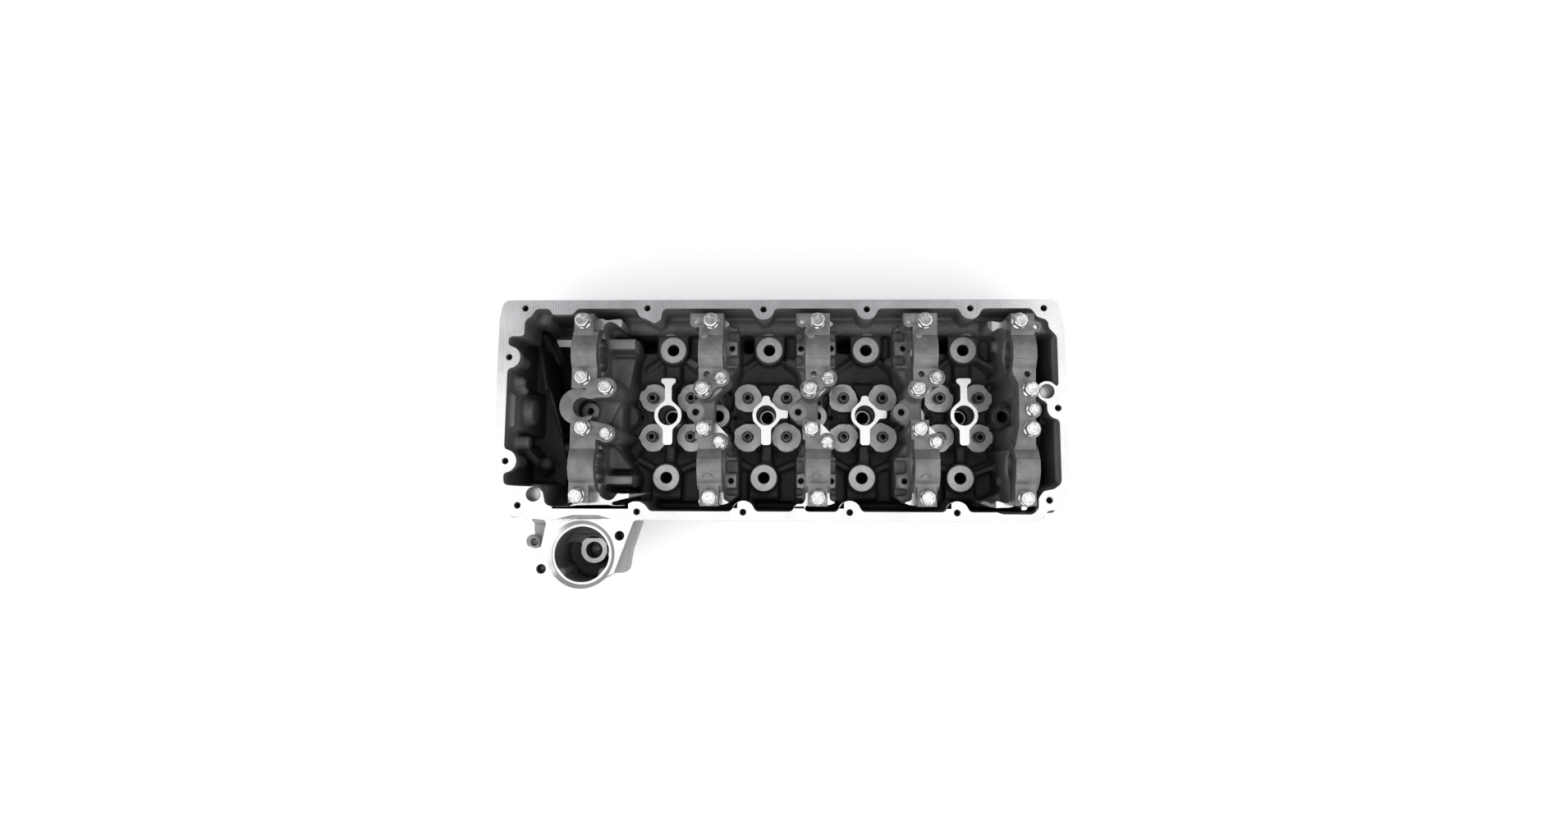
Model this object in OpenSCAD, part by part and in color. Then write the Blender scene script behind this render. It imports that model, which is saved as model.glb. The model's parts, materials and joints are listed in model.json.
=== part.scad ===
// Bare cylinder head of a four-cylinder, sixteen-valve, twin-cam engine, with its bearing caps bolted on.
// The origin is on the head's gasket face, at the middle head bolt, between the second and third cylinders.
// X runs along the crankshaft from the chain end to the rear, Y to the intake side and Z up to the cam cover.

/* [Layout] */
// Distance between neighbouring cylinders
cylinder_pitch = 105; // [104.5:0.1:105.5]
// Distance of each camshaft from the middle plane
cam_y = 56; // [55:0.5:57]
// Distance of the intake and exhaust valves from the cylinder's middle, along X
valve_x = 21.2; // [20.8:0.1:21.6]
// Distance of the valves from the cylinder's middle, along Y
valve_y = 21.4; // [21:0.1:22]

/* [Heights above the gasket face] */
// Floor of the valve chamber
floor_z = 50; // [49:0.5:51]
// Faces that the valve springs stand on
spring_z = 54; // [53:0.5:55]
// Tops of the valve guides
guide_z = 66; // [64:0.5:68]
// Seats of the outer head bolts
bolt_seat_z = 74; // [72:0.5:76]
// Machined faces round the injector wells
injector_z = 87; // [85:0.5:89]
// Tapped bosses on the middle line
pedestal_z = 121; // [119:0.5:123]
// Parting line of the camshaft bearings
parting_z = 137; // [136.5:0.5:137.5]
// Cam cover face
rim_z = 140.4; // [140:0.2:141]
// Faces that the cap bolts clamp
cap_z = 157; // [156:0.5:158]
// Mounting face of the thermostat housing
housing_z = 130; // [128:0.5:132]

/* [Bores and bolts] */
// Radius of the camshaft bearings
cam_r = 15; // [14:0.5:15.5]
// Radius of the head bolt bores
head_bolt_r = 5.8; // [5.5:0.1:6]
// Radius of the head bolt seats
bolt_seat_r = 14; // [13:0.5:14.5]
// Radius of the spring seats
spring_r = 15; // [14.5:0.1:15.2]
// Outer radius of a valve guide
guide_r = 6; // [5.5:0.1:6.2]
// Radius of a valve stem
stem_r = 3; // [2.8:0.1:3.2]
// Outer radius of an intake seat ring
intake_seat_r = 16.5; // [16:0.1:16.8]
// Outer radius of an exhaust seat ring
exhaust_seat_r = 15; // [14.5:0.1:15.5]
// Radius of the injector wells
injector_r = 10; // [9.5:0.1:10.5]
// Thread radius of the main cap bolts
main_bolt_r = 4; // [4:0.1:4.1]
// Thread radius of the small cap bolts
small_bolt_r = 3; // [3:0.1:3.1]
// Radius of the tapped holes in the cover face
cover_hole_r = 2.6; // [2.5:0.1:2.8]

/* [Hidden] */
$fn = 48;
cyl_x = [for (i = [0:3]) (i - 1.5) * cylinder_pitch];
mid_x = [for (i = [-1:1]) i * cylinder_pitch];
end_x = [-205, 201];

// The walls
left_x = -322;
right_x = 248;
top_y = 112.5;
bottom_y = -109.5;
wall = 9.5;
rim_h = 12;
body_left = -243;
ledge_y = 88;
ledge_z = 98;
wall_split = [-262, 206];
recess_z = 106;
plateau_z = 112;

// Outer head bolts, given from each cylinder's middle
upper_bolt = [2.6, 72.2];
lower_bolt = [-2.8, -66.3];

// Cap bolts, given from the middle of each bearing
upper_main = [[0.9, 86.4], [-6.6, 19.4]];
lower_main = [[-5.4, -19.4], [1.2, -85.8]];
upper_small = [11.1, 30.5];
lower_small = [10.1, -32.4];
front_main = [[-231.1, 86.6], [-230, 30.5], [-206.5, 20.8], [-228.8, -19.2], [-232.5, -84.8]];
front_small = [-205.7, -24.4];
rear_main = [[198, 86], [206.7, 18.9], [206.9, -19.6], [200, -86]];
rear_small = [208.6, -0.7];
upper_ear = [-14.5, 86.1];
rear_ear = [214.3, 81];

// Tapped holes of the cover face
cover_holes = [
    [-295.6, 103.8], [-171.2, 103.8], [-53.4, 102.3], [50.8, 102.3], [154.5, 103.1], [227.7, 103.1],
    [238.8, 2.5], [227.5, -88.2], [137.5, -100.8], [32.5, -100.8], [-72.5, -100.8], [-177.5, -100.8],
    [-296.4, -94.9], [-310.3, -51.1], [-310.3, 53.7]];
oil_bores = [[-280.9, -83.9], [228.4, 19.2]];

// Oil drains beside the upper head bolts: left and right edge
drains = [[-198, -175], [-79, -66], [24, 39.5], [125, 147]];

// Ports
port_z = 24;
port_r = 11;
intake_port = 26;
exhaust_port = 25;
intake_face_y = 100;
exhaust_face_y = -94;
port_stud_r = 3.4;

// Thermostat housing
housing = [-234.5, -143.6];
housing_r = 33.8;
housing_bore_r = 27.2;
housing_floor_z = 72;
housing_holes = [[-196.4, -124.9], [-274, -157.9]];
outlet = [-232.6, -142.4];

// Plugs
plug_r = 9;
end_plug_r = 14;
left_plug = [-38, 78];
rear_plugs = [[-52, 26], [0, 24], [52, 26]];
side_plug_z = 70;

cast_grey = "dimgray";
machined_grey = "darkgray";
steel = "lightgray";

// ---------- helpers ----------

// Upright cylinder between two heights, at a point in plan
module post(p, r, z0, z1) {
    translate([p[0], p[1], z0]) cylinder(r = r, h = z1 - z0);
}

// Box between two corners
module block(a, b) {
    translate(a) cube(b - a);
}

// Cylinder along X between two places
module bar_x(x0, x1, y, z, r) {
    translate([x0, y, z]) rotate([0, 90, 0]) cylinder(r = r, h = x1 - x0);
}

// Cylinder along Y between two places
module bar_y(x, y0, y1, z, r) {
    translate([x, y0, z]) rotate([-90, 0, 0]) cylinder(r = r, h = y1 - y0);
}

// ---------- walls ----------

// Outline of the head seen from above
module outer_plan() {
    polygon([
        [-314.5, 112.5], [237, 112.5], [242, 108.5], [246.5, 91], [248, 80], [248, -80],
        [246.5, -95], [243, -98], [226, -98], [218, -109.5], [-198, -109.5], [-216, -104.3],
        [-240, -104.3], [-262, -109.5], [-276, -109.5], [-309.5, -105], [-310.5, -92],
        [-318, -85], [-322, -74], [-322, 92], [-319, 108]]);
}

// Opening inside the cover face, before the bosses
module cavity_plan() {
    polygon([
        [-311.5, 75], [-297, 75], [-295.5, 77], [-295.5, 91], [-288.5, 96], [-284.6, 103.2],
        [-270.4, 103.2], [-268, 97], [-247, 97], [-242, 103.2], [197, 102.8], [215, 102.8],
        [221, 94], [231, 91], [232, 83], [237, 77.5], [240, 75], [240, -71],
        [233, -77], [222, -79], [217, -86], [217, -96], [211, -102], [195, -101.9],
        [182, -101.9], [177, -100], [-165, -100], [-168, -95], [-174, -90.5], [-182, -90.5],
        [-189, -94.5], [-262, -96], [-269, -93.5], [-271, -82], [-277, -76.5], [-310.5, -74.7],
        [-311.8, -63]]);
}

// Bosses that reach into the opening, each as a point and a radius
module cover_bosses() {
    for (b = [
        [-53.4, 102.3, 10.8], [50.8, 102.3, 10.8], [154.5, 103, 11], [137.8, -100.8, 11.5],
        [32.4, -100.6, 11.5], [-72.2, -100.8, 11.5], [-310.5, -51.1, 11.6], [-310, 53.7, 11.4],
        [228.4, 19.2, 10.4], [238.8, 2.5, 11.2], [-17.2, -98, 5.6], [-172.6, 102, 9.2]])
        translate([b[0], b[1]]) circle(b[2]);
    // Pointed lug beside the second boss
    polygon([
        [-173, 93.1], [-168.5, 90.5], [-163.5, 87.8], [-156.9, 91.8], [-156, 98], [-154.5, 104],
        [-173, 104]]);
}

// Solid part of the cover face
module rim_plan() {
    difference() {
        outer_plan();
        difference() {
            cavity_plan();
            cover_bosses();
        }
    }
}

// Plain wall below the cover face
module wall_plan() {
    difference() {
        translate([left_x + 2, bottom_y + 2]) square([right_x - left_x - 4, top_y - bottom_y - 4]);
        translate([left_x + wall, bottom_y + wall])
            square([right_x - left_x - 2 * wall, top_y - bottom_y - 2 * wall]);
        translate([left_x, bottom_y - 1]) square([14, 27]);
        translate([226, bottom_y - 1]) square([30, 16]);
    }
    polygon([[-314, -74], [-271, -76], [-271, -98], [-309, -103]]);
    polygon([[222, -79], [240, -71], [246, -82], [241, -95], [217, -96]]);
}

// All four walls of the cam box, with their bosses and holes
module cam_box() {
    difference() {
        union() {
            translate([0, 0, rim_z - rim_h]) linear_extrude(rim_h) rim_plan();
            translate([0, 0, floor_z]) linear_extrude(rim_z - rim_h - floor_z) wall_plan();
            // Oil gallery ledge along the intake side
            block([-204, ledge_y, floor_z], [205, top_y - wall + 1, ledge_z]);
            for (h = cover_holes) post(h, 7.4, 96, rim_z - rim_h);
            for (h = oil_bores) post(h, 9.5, 84, rim_z - rim_h);
            // Lands behind the chain and rear bosses
            block([-318, 75, 84], [-296, 110, rim_z - rim_h]);
            block([214, 80, 84], [246, 100, rim_z - rim_h]);
            // Boss of the chain tensioner and an upright lug in the chain chamber
            bar_x(left_x + wall - 1, -297, 2, 95, 13.5);
            block([left_x + wall - 1, -16, 84], [-307, 18, rim_z - rim_h]);
            post([-289.5, 98.7], 6.8, floor_z, 108);
        }
        for (h = cover_holes) post(h, cover_hole_r, rim_z - 16, rim_z + 1);
        for (h = oil_bores) post(h, 6.6, rim_z - 22, rim_z + 1);
        bar_x(-308, -296, 2, 95, 9);
        // Oil gallery drilled along the ledge
        bar_x(-205, 190, 96, 84, 4);
        bar_x(204, 249, 0, 96, 6);
        // Seat of the plug in the left wall
        bar_x(left_x - 1, left_x + 12, left_plug[0], left_plug[1], plug_r);
        // The thermostat housing opens through the wall
        block([-246, -112, 84], [-222, -92, 104]);
        // Core plug bores in the exhaust side
        for (x = mid_x) bar_y(x, bottom_y - 1, bottom_y + wall + 1, side_plug_z, end_plug_r);
        // Arc that clears the thermostat housing's seal ring
        post(housing, housing_r + 2.4, housing_z - 4, rim_z + 1);
    }
}

// The part of the cam box inside a rectangle in plan
module cam_box_part(a, b) {
    color(cast_grey) intersection() {
        cam_box();
        block([a[0], a[1], floor_z - 1], [b[0], b[1], rim_z + 1]);
    }
}

module chain_end_wall() { cam_box_part([left_x - 5, bottom_y - 1], [wall_split[0], top_y + 1]); }
module intake_side_wall() { cam_box_part([wall_split[0], 0], [wall_split[1], top_y + 1]); }
module exhaust_side_wall() { cam_box_part([wall_split[0], bottom_y - 1], [wall_split[1], 0]); }
module rear_end_wall() { cam_box_part([wall_split[1], bottom_y - 1], [right_x + 5, top_y + 1]); }

// ---------- lower casting ----------

// Outline of the gasket face and of the body above it
module deck_plan() {
    polygon([
        [body_left, 98], [234, 98], [240, 90], [240, -84], [232, -94], [-190, -94],
        [body_left, -94]]);
}

// One cylinder's bosses on the chamber floor; ends is true on the first and last cylinder
module cylinder_bosses(x, ends) {
    for (sx = [-1, 1], sy = [-1, 1])
        post([x + sx * valve_x, sy * valve_y], spring_r + 0.4, floor_z - 1, spring_z);
    // Injector well and its machined key faces
    post([x, 0], 14.9, floor_z - 1, injector_z);
    block([x - 5.4, -31.8, floor_z - 1], [x + 5.4, 0, injector_z]);
    if (ends) {
        block([x - 3.9, 0, floor_z - 1], [x + 3.9, 40, injector_z]);
        block([x - 8, 34, floor_z - 1], [x + 8, 40, injector_z]);
    } else {
        block([x - 4.4, 0, floor_z - 1], [x + 4.4, 21, injector_z]);
        block([x, -3.4, floor_z - 1], [x + 23.5, 6, injector_z]);
    }
    // Columns of the outer head bolts, with the webs to the walls
    post([x + upper_bolt[0], upper_bolt[1]], 17, floor_z - 1, bolt_seat_z);
    block([x - 14.4, upper_bolt[1], floor_z - 1], [x + 19.6, ledge_y, bolt_seat_z]);
    post([x + lower_bolt[0], lower_bolt[1]], 16, floor_z - 1, bolt_seat_z);
    block([x - 18.8, -88, floor_z - 1], [x + 13.2, lower_bolt[1], bolt_seat_z - 3]);
    block([x - 5, -55, floor_z - 1], [x + 5, -30, bolt_seat_z - 8]);
    if (ends) block([x - 7, 38, floor_z - 1], [x + 11, 60, bolt_seat_z - 6]);
}

// Ports, bores and holes of one cylinder
module cylinder_cuts(x) {
    for (sx = [-1, 1], side = [-1, 1]) {
        seat_r = side > 0 ? intake_seat_r : exhaust_seat_r;
        v = [x + sx * valve_x, side * valve_y];
        post(v, seat_r, -1, 7);
        post(v, seat_r - 3.5, 6, port_z + 4);
        post(v, guide_r, port_z, spring_z + 1);
        post(v, guide_r + 2.2, spring_z - 2, spring_z + 1);
    }
    for (side = [-1, 1]) bar_x(x - valve_x, x + valve_x, side * valve_y, port_z, port_r - 0.6);
    bar_y(x + intake_port, valve_y, intake_face_y + 1, port_z, port_r + 1);
    bar_y(x + exhaust_port, exhaust_face_y - 1, -valve_y, port_z, port_r);
    for (s = [-1, 1]) {
        bar_y(x + intake_port + s * 19, 84, intake_face_y + 1, port_z + s * 8, port_stud_r);
        bar_y(x + exhaust_port + s * 18, exhaust_face_y - 1, -78, port_z + s * 8, port_stud_r);
    }
    // Injector well, stepped down to the nozzle hole
    post([x, 0], injector_r, 53, injector_z + 1);
    post([x, 0], 8, 12, 54);
    post([x, 0], 4, -1, 13);
    post([x + upper_bolt[0], upper_bolt[1]], head_bolt_r, -1, bolt_seat_z + 1);
    post([x + lower_bolt[0], lower_bolt[1]], head_bolt_r, -1, bolt_seat_z + 1);
    // Tapped hole on the middle line
    post([x - 35, 0], 3.4, floor_z - 14, floor_z + 1);
}

module lower_head() {
    color(cast_grey) difference() {
        union() {
            linear_extrude(floor_z) deck_plan();
            // Shelf that the cam box walls stand on
            translate([body_left, bottom_y + 2, 36])
                cube([right_x - 2 - body_left - 20, top_y - bottom_y - 4, floor_z - 36]);
            block([220, -92, 36], [right_x - 2, top_y - 2, floor_z]);
            for (i = [0:3]) cylinder_bosses(cyl_x[i], i == 0 || i == 3);
            // Raised flange faces of the ports
            for (x = cyl_x) {
                block([x + intake_port - 27, 90, 8], [x + intake_port + 27, intake_face_y, 40]);
            }
        }
        for (x = cyl_x) cylinder_cuts(x);
        for (x = concat(mid_x, end_x)) post([x, 0], head_bolt_r, -1, floor_z + 1);
        for (d = drains) block([d[0], 71, -1], [d[1], 87.5, floor_z + 1]);
        // Coolant holes in the gasket face
        for (x = mid_x, y = [-46, -28, 28, 46]) post([x, y], abs(y) > 40 ? 4.5 : 6, -1, 32);
        for (x = end_x, y = [-30, 30]) post([x, y], 6, -1, 32);
        // Ring dowels that place the head on the block
        for (p = [[-232, 60], [226, 60]]) post(p, 8, -1, 9);
        // Core plug bores in the rear end
        for (p = rear_plugs) bar_x(232, 241, p[0], p[1], end_plug_r);
    }
}

// Deep chamber for the timing chain, open through the head
module chain_case() {
    color(cast_grey) difference() {
        block([left_x + 2, -96, 0], [body_left, top_y - 2, floor_z]);
        block([left_x + 12, -84, -1], [body_left + 1, 98, floor_z + 1]);
    }
    // Slanting inner wall beside the chain
    color(cast_grey) translate([0, 0, 12]) linear_extrude(floor_z - 12) polygon([
        [left_x + 12, 98], [-303, 98], [-290, 20], [-275, -50], [-275, -84], [left_x + 12, -84]]);
}

// ---------- bearing towers ----------

// Half bearing cut for both camshafts
module cam_bores(x0, x1, r) {
    for (s = [-1, 1]) bar_x(x0, x1, s * cam_y, parting_z, r);
}

// Tower between two cylinders; left and right say how far its tapped side blocks reach
module bearing_tower(m, left, right) {
    color(cast_grey) difference() {
        union() {
            for (s = [-1, 1]) {
                y0 = s > 0 ? 41 : -94;
                block([m - 11, y0, floor_z], [m + 13, s > 0 ? ledge_y : -41, parting_z]);
                block([m - left, s > 0 ? 48 : -87, floor_z], [m + right, s > 0 ? ledge_y : -48, 118]);
                block([m - 11, s > 0 ? 19 : -42, floor_z], [m + 3, s > 0 ? 42 : -19, parting_z]);
            }
            block([m - 11, ledge_y, ledge_z], [m + 13, 94.5, parting_z]);
            post([m + upper_main[1][0], upper_main[1][1]], 9, floor_z, parting_z);
            post([m + lower_main[0][0], lower_main[0][1]], 9, floor_z, parting_z);
            post(upper_small + [m, 0], 8.4, 104, parting_z);
            post(lower_small + [m, 0], 8.4, 104, parting_z);
            // Middle pedestal with its tapped boss, and the middle head bolt's column
            block([m - 20, -13, pedestal_z - 12], [m + 2, 13, pedestal_z]);
            block([m - 20, -6, floor_z], [m - 10, 6, pedestal_z]);
            post([m - 18.3, 0], 9.2, 98, pedestal_z);
            post([m - 18.3, 0], 6.4, floor_z, 99);
            post([m, 0], 13, floor_z, bolt_seat_z);
        }
        cam_bores(m - 30, m + 30, cam_r);
        for (p = concat(upper_main, lower_main)) post(p + [m, 0], main_bolt_r, 110, parting_z + 1);
        for (p = [upper_small, lower_small]) post(p + [m, 0], small_bolt_r, 116, parting_z + 1);
        post(upper_ear + [m, 0], 2.5, 126, parting_z + 1);
        post([m - 18.3, 0], small_bolt_r, pedestal_z - 18, pedestal_z + 1);
        post([m, 0], head_bolt_r, floor_z - 1, bolt_seat_z + 1);
        for (s = [-1, 1]) {
            y = s > 0 ? 66.4 : -70;
            if (left > 12) post([m - 15.4, y], 2.5, 104, 119);
            if (right > 14) post([m + (left > 12 ? 15.4 : 18.4), y], 2.5, 104, 119);
        }
    }
}

module bearing_tower_1() { bearing_tower(mid_x[0], 11, 24.5); }
module bearing_tower_2() { bearing_tower(mid_x[1], 20.5, 20.5); }
module bearing_tower_3() { bearing_tower(mid_x[2], 24.5, 13); }

module front_bearing_tower() {
    color(cast_grey) difference() {
        union() {
            for (s = [-1, 1]) {
                block([-241, s > 0 ? 36 : -94, floor_z], [-216, s > 0 ? 94 : -36, parting_z]);
                // Pads behind the bearings
                block([-217, s > 0 ? 65 : -74, floor_z], [-187, s > 0 ? 77 : -64.5, 118]);
            }
            // Wedges between the pads and the first cylinder
            translate([0, 0, floor_z]) linear_extrude(42) {
                polygon([[-222, 31], [-197, 31], [-192, 65], [-222, 65]]);
                polygon([[-222, -30], [-209, -30], [-194, -56.5], [-222, -56.5]]);
            }
            block([-241, -40, floor_z], [-222, 40, recess_z]);
            for (p = [front_main[1], front_main[2], front_main[3]]) post(p, 9.6, floor_z, parting_z);
            block([-241, 20, floor_z], [-216, 38, parting_z]);
            block([-241, -38, floor_z], [-218, -14, parting_z]);
            block([-222, 14, floor_z], [-205, 28, parting_z]);
            post(front_small, 8.4, floor_z, parting_z);
            block([-222, -30, floor_z], [-206, -19, parting_z]);
            post([-231.2, 0.6], 9, floor_z, pedestal_z);
            // Plateau beside the tapped boss, and the lower facet at its end
            translate([0, 0, floor_z]) linear_extrude(plateau_z - floor_z)
                polygon([[-232, 11], [-202, 11], [-213.2, -12], [-230, -10.4]]);
            translate([0, 0, floor_z]) linear_extrude(plateau_z - 7 - floor_z)
                polygon([[-216, -10.6], [-201, 17.9], [-201.8, -20]]);
            post([end_x[0], 0], 13.5, floor_z, bolt_seat_z);
            // Curved wall towards the chain chamber
            difference() {
                post([-235, 2], 17.5, floor_z, parting_z);
                post([-232, 2], 13, recess_z, parting_z + 1);
                block([-225, -20, floor_z - 1], [-210, 24, parting_z + 1]);
            }
        }
        block([-260, -14, floor_z - 1], [body_left, 20, floor_z + 36]);
        cam_bores(-260, -200, cam_r + 2);
        for (p = front_main) post(p, main_bolt_r, 110, parting_z + 1);
        post(front_small, small_bolt_r, 116, parting_z + 1);
        post([-231.2, 0.6], small_bolt_r, pedestal_z - 18, pedestal_z + 1);
        for (s = [-1, 1]) bar_x(-200, -186, s * 70, 106, 4.5);
    }
}

module rear_bearing_tower() {
    color(cast_grey) difference() {
        union() {
            for (s = [-1, 1])
                block([190, s > 0 ? 38 : -94, floor_z], [213, s > 0 ? ledge_y : -38, parting_z]);
            block([205, ledge_y - 1, floor_z], [213, 94, parting_z]);
            block([190, ledge_y - 1, ledge_z], [213, 94, parting_z]);
            block([213, 75, 84], [219, 86, parting_z]);
            // Ledges towards the rear wall
            block([213, 30, floor_z], [232, 79, 78]);
            block([213, -84, floor_z], [232, -17, 78]);
            for (s = [-1, 1])
                block([196, s > 0 ? 14 : -39, floor_z], [213, s > 0 ? 39 : -14, parting_z]);
            block([202, -15, pedestal_z - 20], [213, 15, parting_z]);
            post([end_x[1], 0], 13, floor_z, bolt_seat_z);
            post(rear_main[1], 9.4, floor_z, parting_z);
            post(rear_main[2], 9.4, floor_z, parting_z);
            post(rear_small, 8.4, 104, parting_z);
        }
        cam_bores(180, 230, cam_r);
        for (p = rear_main) post(p, main_bolt_r, 110, parting_z + 1);
        post(rear_small, small_bolt_r, 116, parting_z + 1);
        post(rear_ear, 2.5, 126, parting_z + 1);
        post([end_x[1], 0], head_bolt_r, floor_z - 1, bolt_seat_z + 1);
    }
}

// ---------- thermostat housing ----------

module thermostat_housing() {
    color(cast_grey) difference() {
        union() {
            // Mounting flange
            translate([0, 0, housing_z - 11]) linear_extrude(11) difference() {
                union() {
                    translate(housing) circle(housing_r);
                    polygon([
                        [-270, bottom_y], [-276, -141], [-281, -147.5], [-281, -161], [-277, -165],
                        [-250, -164], [-219, -164], [-201.6, -163.2], [-183, -112], [-186, bottom_y]]);
                }
                translate([-300, bottom_y]) square([140, 20]);
            }
            intersection() {
                post(housing, housing_r - 2, 60, housing_z);
                block([-300, -190, 50], [-160, bottom_y + 2, housing_z]);
            }
            // Neck to the wall of the head, and the stay on its rear side
            block([-258, -134, 62], [-206, bottom_y + 2, housing_z - 10]);
            translate([0, 0, 96]) linear_extrude(housing_z - 11 - 96) polygon([
                [-207, -124], [-190, bottom_y + 2], [-177, bottom_y + 2], [-188, -141],
                [-191, -161], [-194, -163], [-206, -163]]);
            // Small pipe lug on the chain side
            post([-296, -133], 7, 84, 96);
            block([-296, -137, 84], [-262, -129, 96]);
        }
        post(housing, housing_r - 4, housing_z - 3, housing_z + 1);
        difference() {
            post(housing, housing_bore_r, housing_floor_z, housing_z + 1);
            post(outlet, 14.3, housing_floor_z - 1, 88);
            // Lugs inside the bore, each as an angle and a radius
            for (lug = [[0, 2.6], [-41, 4.6], [-139, 4.6]])
                translate(housing + housing_bore_r * [cos(lug[0]), sin(lug[0])])
                    translate([0, 0, 80]) cylinder(r = lug[1], h = housing_z - 5 - 80);
        }
        post(outlet, 8, 55, 90);
        block([-246, -120, 84], [-222, bottom_y + 3, 104]);
        for (h = housing_holes) post(h, 4.1, housing_z - 20, housing_z + 1);
        post([-296, -133], 3.5, 83, 97);
    }
}

// ---------- bearing caps ----------

// Round back of a cap over the camshaft, with its flat pad; s is 1 on the intake side and -1 on the other
module cap_arch(x0, x1, s, pad0, pad1) {
    intersection() {
        translate([x0, s * cam_y, parting_z]) rotate([0, 90, 0]) cylinder(r = 26, h = x1 - x0);
        block([x0, s * cam_y - 27, parting_z], [x1, s * cam_y + 27, parting_z + 25.2]);
    }
    block([x0, pad0, parting_z + 10], [x1, pad1, parting_z + 26]);
}

// Bolt hole right through a cap
module cap_hole(p, r) {
    post(p, r, parting_z - 1, cap_z + 12);
}

module upper_bearing_cap(m) {
    color(machined_grey) difference() {
        union() {
            translate([m, 0, parting_z]) linear_extrude(cap_z - parting_z) {
                translate([-11, 26]) square([24, 68.5]);
                translate(upper_main[1]) circle(9.8);
                translate(upper_small) circle(8.8);
                polygon([[-11, 26], [-16.4, 19.4], [-6.6, 9.6], [13, 26]]);
                translate([-20, 86]) square([10, 8.5]);
                translate(upper_ear) circle(5.6);
            }
            cap_arch(m - 11, m + 13, 1, 48.7, 62.2);
            post([m - 5.5, 72.5], 3.8, cap_z - 1, cap_z + 3);
        }
        cam_bores(m - 30, m + 30, cam_r);
        for (p = upper_main) cap_hole(p + [m, 0], main_bolt_r + 0.4);
        cap_hole(upper_small + [m, 0], small_bolt_r + 0.4);
        cap_hole(upper_ear + [m, 0], 2.5);
        cap_hole([m - 3, 34], 3);
    }
}

module lower_bearing_cap(m) {
    color(machined_grey) difference() {
        union() {
            translate([m, 0, parting_z]) linear_extrude(cap_z - parting_z) {
                translate([-13.6, -30]) square([17.2, 19.2]);
                translate([-11, -75]) square([24, 46]);
                translate(lower_small) circle(8.8);
                translate([-8.5, -94.5]) square([18.5, 20]);
            }
            cap_arch(m - 11, m + 13, -1, -61, -48.7);
        }
        cam_bores(m - 30, m + 30, cam_r);
        for (p = lower_main) cap_hole(p + [m, 0], main_bolt_r + 0.4);
        cap_hole(lower_small + [m, 0], small_bolt_r + 0.4);
    }
}

module upper_bearing_cap_1() { upper_bearing_cap(mid_x[0]); }
module upper_bearing_cap_2() { upper_bearing_cap(mid_x[1]); }
module upper_bearing_cap_3() { upper_bearing_cap(mid_x[2]); }
module lower_bearing_cap_1() { lower_bearing_cap(mid_x[0]); }
module lower_bearing_cap_2() { lower_bearing_cap(mid_x[1]); }
module lower_bearing_cap_3() { lower_bearing_cap(mid_x[2]); }

module front_bearing_bridge() {
    color(machined_grey) difference() {
        union() {
            translate([0, 0, parting_z]) linear_extrude(cap_z - parting_z) difference() {
                union() {
                    translate([-240, 70]) square([19, 24.5]);
                    translate([-241, 20]) square([25, 56]);
                    translate([-234.5, 2]) circle(17.8);
                    translate([-241, -75]) square([25, 60]);
                    translate([-241, -92]) square([19.5, 20]);
                    translate(front_main[2]) circle(9.8);
                    polygon([[-222, 29.6], [-205, 29.8], [-207, 11], [-232, 10]]);
                    translate(front_small) circle(8.8);
                    polygon([[-222, -12], [-205, -15.6], [-206, -33.2], [-222, -28]]);
                }
                // Pocket round the tapped boss, open towards the cylinders
                translate([-229.5, 1]) circle(9.8);
                translate([-229.5, -7.4]) square([40, 17]);
            }
            cap_arch(-241, -216, 1, 50, 62.2);
            cap_arch(-241, -216, -1, -61, -50);
        }
        cam_bores(-260, -200, cam_r + 2);
        for (p = front_main) cap_hole(p, main_bolt_r + 0.4);
        cap_hole(front_small, small_bolt_r + 0.4);
    }
}

module rear_bearing_bridge() {
    color(machined_grey) difference() {
        union() {
            translate([0, 0, parting_z]) linear_extrude(cap_z - parting_z) {
                translate([190, 38]) square([23, 56]);
                polygon([
                    [190, 40], [191, 34], [196, 24], [195.5, -17], [192, -33], [190, -40],
                    [211, -40], [211, -17], [213, 40]]);
                translate([190, -93.5]) square([20, 54]);
                translate(rear_small) circle(8.8);
                translate(rear_main[1]) circle(9.4);
                translate(rear_main[2]) circle(9.4);
                translate(rear_ear) circle(5.2);
            }
            cap_arch(190, 213, 1, 48.5, 61.5);
            cap_arch(190, 213, -1, -61, -48.7);
        }
        cam_bores(180, 230, cam_r);
        for (p = rear_main) cap_hole(p, main_bolt_r + 0.4);
        cap_hole(rear_small, small_bolt_r + 0.4);
        cap_hole(rear_ear, 2.5);
        cap_hole([204.5, 34], 3);
    }
}

// ---------- fasteners ----------

// Flange bolt with a hexagon head, seated on a cap
module flange_bolt(p, thread_r, flange_r, across_flats, head_h, length) {
    translate([p[0], p[1], cap_z]) {
        translate([0, 0, -length]) cylinder(r = thread_r - 0.1, h = length + 1);
        cylinder(r = flange_r, h = 2);
        intersection() {
            cylinder(r = across_flats / sqrt(3), h = head_h, $fn = 6);
            cylinder(r = across_flats / 2 * 1.1, h = head_h);
        }
    }
}

module main_bolts(points) {
    color(steel) for (p = points) flange_bolt(p, main_bolt_r, 8.3, 13, 8, 44);
}

module front_bridge_bolts() { main_bolts(front_main); }
module rear_bridge_bolts() { main_bolts(rear_main); }
module upper_cap_bolts() { main_bolts([for (m = mid_x, p = upper_main) p + [m, 0]]); }
module lower_cap_bolts() { main_bolts([for (m = mid_x, p = lower_main) p + [m, 0]]); }

module small_cap_bolts() {
    inner = [for (m = mid_x, q = [upper_small, lower_small]) q + [m, 0]];
    color(steel) for (p = concat([front_small, rear_small], inner))
        flange_bolt(p, small_bolt_r, 7, 10, 6.5, 38);
}

// ---------- valve gear pieces left in the bare head ----------

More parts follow.
